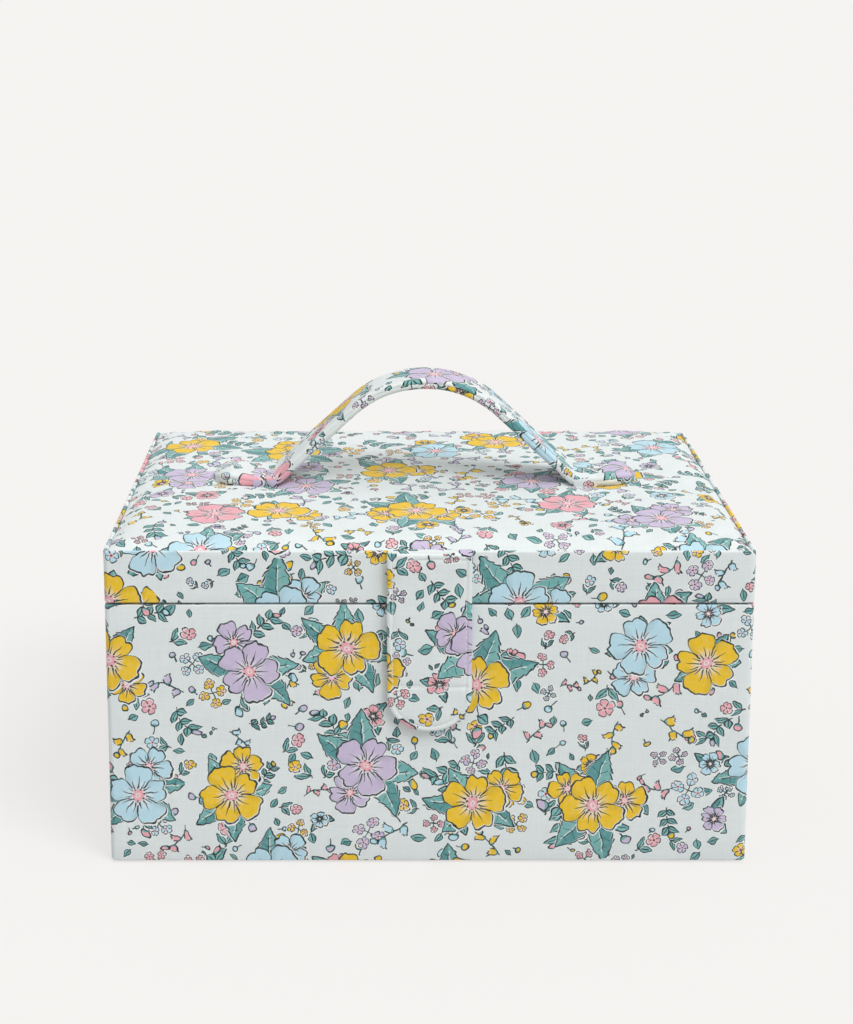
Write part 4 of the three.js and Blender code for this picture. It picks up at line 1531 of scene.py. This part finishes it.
def strap_section(width, end_share):
    """Across the strap: folded under, an edge with a seam line below the flat upper face."""
    grown = tip_height + (1 - tip_height) * math.sin(math.pi / 2 * min(1, 3 * end_share))
    top = strap_thick * (1 + end_puff * math.sin(math.pi * end_share)) * grown
    points = [((1 + inset * mm / strap_half) * width, n * top) for inset, n in strap_side + strap_crown]
    return points + [(-y, n) for y, n in reversed(points[:-1])]


rings = []
for x, z, slope in strap_stations():
    gone = min(1.0, (strap_end - abs(x)) / strap_half)
    width = max(strap_half * math.sqrt(max(0.0, 1 - (1 - gone) ** 2)), least_width)
    outward = Vector((math.sin(slope), 0, math.cos(slope)))
    section = strap_section(width, min(1.0, (strap_end - abs(x)) / round_end))
    rings.append([tuple(Vector((x, y, z)) + outward * n) for y, n in section])
strap_cover = loft("strap_cover", rings, closed=False)
make_uneven(strap_cover, strap_unevenness, strap_wave)
face_way(strap_cover, 2, 1)
thicken(strap_cover, strap_cloth)
smooth(strap_cover, angle=50)
shift_cloth(strap_cover, strap_cut)
finish_piece(strap_cover, printed_cotton, "lid", ["handle_cover_cloth"])

under_inset, under_margin, under_rise = 1.5 * mm, 2.2 * mm, 0.75 * mm
under_cut, under_least = (0.33, 0.45), 0.02
rings = []
for x, z, slope in strap_stations():
    gone = min(1.0, (strap_end - under_inset - abs(x)) / strap_half)
    if gone <= under_least:
        continue
    width = (strap_half - under_margin) * math.sqrt(1 - (1 - gone) ** 2)
    outward = Vector((math.sin(slope), 0, math.cos(slope)))
    base = Vector((x, 0, z)) + outward * under_rise
    rings.append([tuple(base + Vector((0, width * share / 4, 0))) for share in range(-4, 5)])
strap_under = loft("strap_under", rings, closed=False)
face_way(strap_under, 2, -1)
thicken(strap_under, under_cloth)
smooth(strap_under, angle=50)
shift_cloth(strap_under, under_cut)
finish_piece(strap_under, printed_cotton, "lid", ["handle_under_cloth"])

strip_dark, strip_pale = (0.66, 0.66, 0.65, 1), (0.80, 0.80, 0.78, 1)
drawn_grain, drawn_run, drawn_relief = 60, 14, 0.03 * mm
strip_plastic, shader = start_material("strip plastic", roughness=0.5)
drawn = speckle(stretched(object_place(shader), (1, drawn_run, 1)), drawn_grain, detail=3)
shade_and_raise(shader, strip_dark, strip_pale, drawn, drawn, drawn_relief)
finish_node(["handle_core"], strip_plastic)

# Loops: two short bands of folded cotton over the strap. Their ends go through slits in the
# lid's cloth and board, and are turned out and glued under the board.
loop_thick, loop_edge = 0.9 * mm, 0.2 * mm
loop_cut, loop_cut_apart = (1.21, 0.37), 0.1
loop_line = [
    (21.8, 125.3), (19, 125.3), (16, 125.3), (14.4, 125.35), (13.5, 125.7), (13.3, 126.6), (13.3, 131),
    (13.3, 135), (13.35, 137.2), (13.3, 138.5), (13.05, 139.35), (12.5, 139.95), (11.5, 140.35),
    (9.5, 140.6), (6.5, 140.75), (3.2, 140.85), (0, 140.9),
]
loop_path = loop_line + [(-y, z) for y, z in reversed(loop_line[:-1])]
loop_width = [
    (-1, 0.3), (-0.94, 0.06), (-0.84, 0), (-0.4, 0), (0, 0), (0.4, 0), (0.84, 0), (0.94, 0.06), (1, 0.3),
]
for name, side in (("left", -1), ("right", 1)):
    middle = side * (loop_near + loop_far) / 2
    half = (loop_far - loop_near) / 2
    rings = []
    for number, (y, z) in enumerate(loop_path):
        before = Vector(loop_path[max(0, number - 1)])
        after = Vector(loop_path[min(len(loop_path) - 1, number + 1)])
        run = (after - before).normalized()
        rings.append([
            (middle + share * half, (y - run.y * dip / 2) * mm, (z + run.x * dip / 2) * mm)
            for share, dip in loop_width
        ])
    loop = loft(f"strap_loop_{name}", rings, closed=False)
    face_way(loop, 2, 1, highest=True)
    thicken(loop, loop_thick)
    soften(loop, loop_edge, segments=2, degrees=60)
    smooth(loop, angle=50)
    shift_cloth(loop, (loop_cut[0] + side * loop_cut_apart, loop_cut[1]))
    finish_piece(loop, printed_cotton, "lid", [f"handle_loop_{name}"])

# Closure tab: printed cotton folded round a card, topstitched near its edge and once across
# above the magnet. Its root comes up behind the lid's ridge and turns over it to the front.
tab_half, tab_end = 17 * mm, 15 * mm
tab_top, tab_foot, tab_front = 132.7 * mm, 58.2 * mm, -98 * mm
tab_unevenness, tab_wave = 0.3 * mm, 14 * mm
tab_rows, tab_end_steps, tab_top_steps = 32, 40, 16
tab_face_cloth, tab_back_cloth, tab_root_cloth = 0.6 * mm, 0.45 * mm, 0.55 * mm
tab_cut, tab_back_cut = (0.731, 0.512), (0.131, 0.912)
stitch_inset, cross_stitch_height = 2.35 * mm, 77.3 * mm
cross_rows = [row * mm for row in (-3.1, -2.1, -1.3, -0.8, -0.4, 0, 0.4, 0.9, 1.6, 2.8)]
cross_depth, cross_width = 0.42 * mm, 0.75 * mm
magnet_swell, magnet_spread, magnet_middle = 0.35 * mm, 6 * mm, 10 * mm
edge_hold = 12
tab_profile = [
    (5.5, -95.5), (3.0, -95.4), (1.0, -95.4), (0.35, -95.6), (0.08, -96.0), (0.0, -96.6), (0.0, -97.3),
    (0.12, -97.85), (0.45, -98.2), (1.0, -98.4), (1.6, -98.4), (2.05, -98.24), (2.35, -98.08),
    (2.65, -98.22), (3.2, -98.42), (4.2, -98.5), (6.5, -98.5), (9.5, -98.5), (12.5, -98.5), (16, -98.5),
]
tab_back_profile = [(1.6, -95.75), (2.2, -95.4), (4, -95.32), (8, -95.32), (12.5, -95.32), (16, -95.32)]
tab_root = [
    (-97.3, 130.2), (-97.3, 132.2), (-97.0, 132.95), (-96.4, 133.4), (-95.6, 133.6), (-94.8, 133.62),
    (-94.0, 133.45), (-93.5, 133.0), (-93.3, 132.3), (-93.25, 130.4),
]


def tab_outline(inset):
    """The tab's front view at an inset: straight sides and a half-oval lower end."""
    half = tab_half - inset
    end = tab_end * half / tab_half
    bend = tab_foot + tab_end
    top = tab_top - inset
    heights = [cross_stitch_height + row for row in cross_rows]
    low = heights[-1]
    heights += [low + (top - low) * step / tab_rows for step in range(1, tab_rows + 1)]
    points = [(-half, height) for height in reversed(heights)]
    for step in range(tab_end_steps + 1):
        angle = math.pi * (1 + step / tab_end_steps)
        points.append((half * math.cos(angle), bend + end * math.sin(angle)))
    points += [(half, height) for height in heights]
    points += [(half * (1 - 2 * step / tab_top_steps), top) for step in range(1, tab_top_steps)]
    return points


def tab_shell(name, shell_profile, outward, move):
    """A shell on the tab's outline, closed where its last ring leaves it open."""
    rings = [[(x, y * mm, z) for x, z in tab_outline(inset * mm)] for inset, y in shell_profile]
    shell = loft(name, rings)
    last = set(range(len(shell.data.vertices) - len(rings[-1]), len(shell.data.vertices)))
    fill_open(shell, lambda edge: all(corner.index in last for corner in edge.verts))
    if max(shell.data.polygons, key=lambda face: face.area).normal.y * outward < 0:
        shell.data.flip_normals()
    map_flat(shell, axes=(0, 2), move=move)
    return shell


tab_face = tab_shell("tab_face", tab_profile, -1, tab_cut)
for vertex in tab_face.data.vertices:
    if vertex.co.y < tab_front:
        off = abs(vertex.co.z - cross_stitch_height) / cross_width
        inside = 1 - min(1, abs(vertex.co.x) / tab_half) ** edge_hold
        vertex.co.y += cross_depth * inside * math.exp(-off**2)
        off = math.hypot(vertex.co.x, vertex.co.z - tab_foot - magnet_middle) / magnet_spread
        vertex.co.y -= magnet_swell * math.exp(-off**2)
make_uneven(tab_face, tab_unevenness, tab_wave)
thicken(tab_face, tab_face_cloth)
smooth(tab_face, angle=60)
finish_piece(tab_face, printed_cotton, "closure_tab", ["tab_face_cloth"])
tab_lining = tab_shell("tab_lining", tab_back_profile, 1, tab_back_cut)
thicken(tab_lining, tab_back_cloth)
smooth(tab_lining, angle=60)
finish_piece(tab_lining, printed_cotton, "closure_tab", ["tab_back_cloth"])

root_inset, root_columns = 0.4 * mm, 16
root_half = tab_half - root_inset
rings = [[(x, y * mm, z * mm) for x in even_lines(root_half, root_columns)] for y, z in tab_root]
tab_turn = loft("tab_root", rings, closed=False)
face_way(tab_turn, 2, 1, highest=True)
thicken(tab_turn, tab_root_cloth)
smooth(tab_turn, angle=60)
shift_cloth(tab_turn, (tab_cut[0] - root_half, tab_cut[1] + tab_top))
finish_piece(tab_turn, printed_cotton, None, [])
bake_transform(tab_turn)

# Tab stitching: white thread, one line near the edge and one across. Each stitch is a short
# raised length of thread that dips into the cloth at both ends. It lies on the tab's own face.
thread_radius, thread_sides = 0.15 * mm, 6
stitch_length, stitch_pitch = 1.8 * mm, 2.4 * mm
cross_inset, before_tab, inward = 1 * mm, -110 * mm, (0, 1, 0)
thread_stages = [(-1.0, -0.9), (-0.8, 0.3), (0.0, 0.75), (0.8, 0.3), (1.0, -0.9)]
worked_face = BVHTree.FromPolygons(
    [vertex.co for vertex in tab_face.data.vertices], [face.vertices for face in tab_face.data.polygons]
)


def stitch_line(points):
    """Places and directions of stitches at an even pitch along a line."""
    stitches = []
    carried = stitch_pitch / 2
    for a, b in zip(points, points[1:]):
        a, b = Vector(a), Vector(b)
        run = b - a
        while carried < run.length:
            stitches.append((a + run.normalized() * carried, run.normalized()))
            carried += stitch_pitch
        carried -= run.length
    return stitches


edge_line = tab_outline(stitch_inset)[1:1 - tab_top_steps]
cross_half = tab_half - stitch_inset - cross_inset
stitches = stitch_line(edge_line)
stitches += stitch_line([(-cross_half, cross_stitch_height), (cross_half, cross_stitch_height)])
points, faces = [], []
for place, run in stitches:
    start = len(points)
    side = Vector((-run.y, run.x))
    for along, lift in thread_stages:
        middle = place + run * (along * stitch_length / 2)
        surface = worked_face.ray_cast((middle.x, before_tab, middle.y), inward)[0]
        for step in range(thread_sides):
            angle = math.tau * step / thread_sides
            aside = middle + side * (math.cos(angle) * thread_radius)
            deep = surface.y - (lift + math.sin(angle)) * thread_radius
            points.append((aside.x, deep, aside.y))
    for ring in range(len(thread_stages) - 1):
        for step in range(thread_sides):
            a = start + ring * thread_sides + step
            b = start + ring * thread_sides + (step + 1) % thread_sides
            faces.append((a, b, b + thread_sides, a + thread_sides))
    faces.append(tuple(start + step for step in reversed(range(thread_sides))))
    last = start + (len(thread_stages) - 1) * thread_sides
    faces.append(tuple(last + step for step in range(thread_sides)))
tab_stitching = new_piece("tab_stitching", points, faces)
turn_out(tab_stitching)
smooth(tab_stitching)
thread_dark, thread_pale = (0.72, 0.74, 0.72, 1), (0.90, 0.91, 0.89, 1)
twist_grain, twist_relief = 2500, 0.05 * mm
thread, shader = start_material("sewing thread", roughness=0.6, sheen=0.2)
twist = speckle(object_place(shader), twist_grain, detail=1)
shade_and_raise(shader, thread_dark, thread_pale, twist, twist, twist_relief)
finish_piece(tab_stitching, thread, "closure_tab", [])
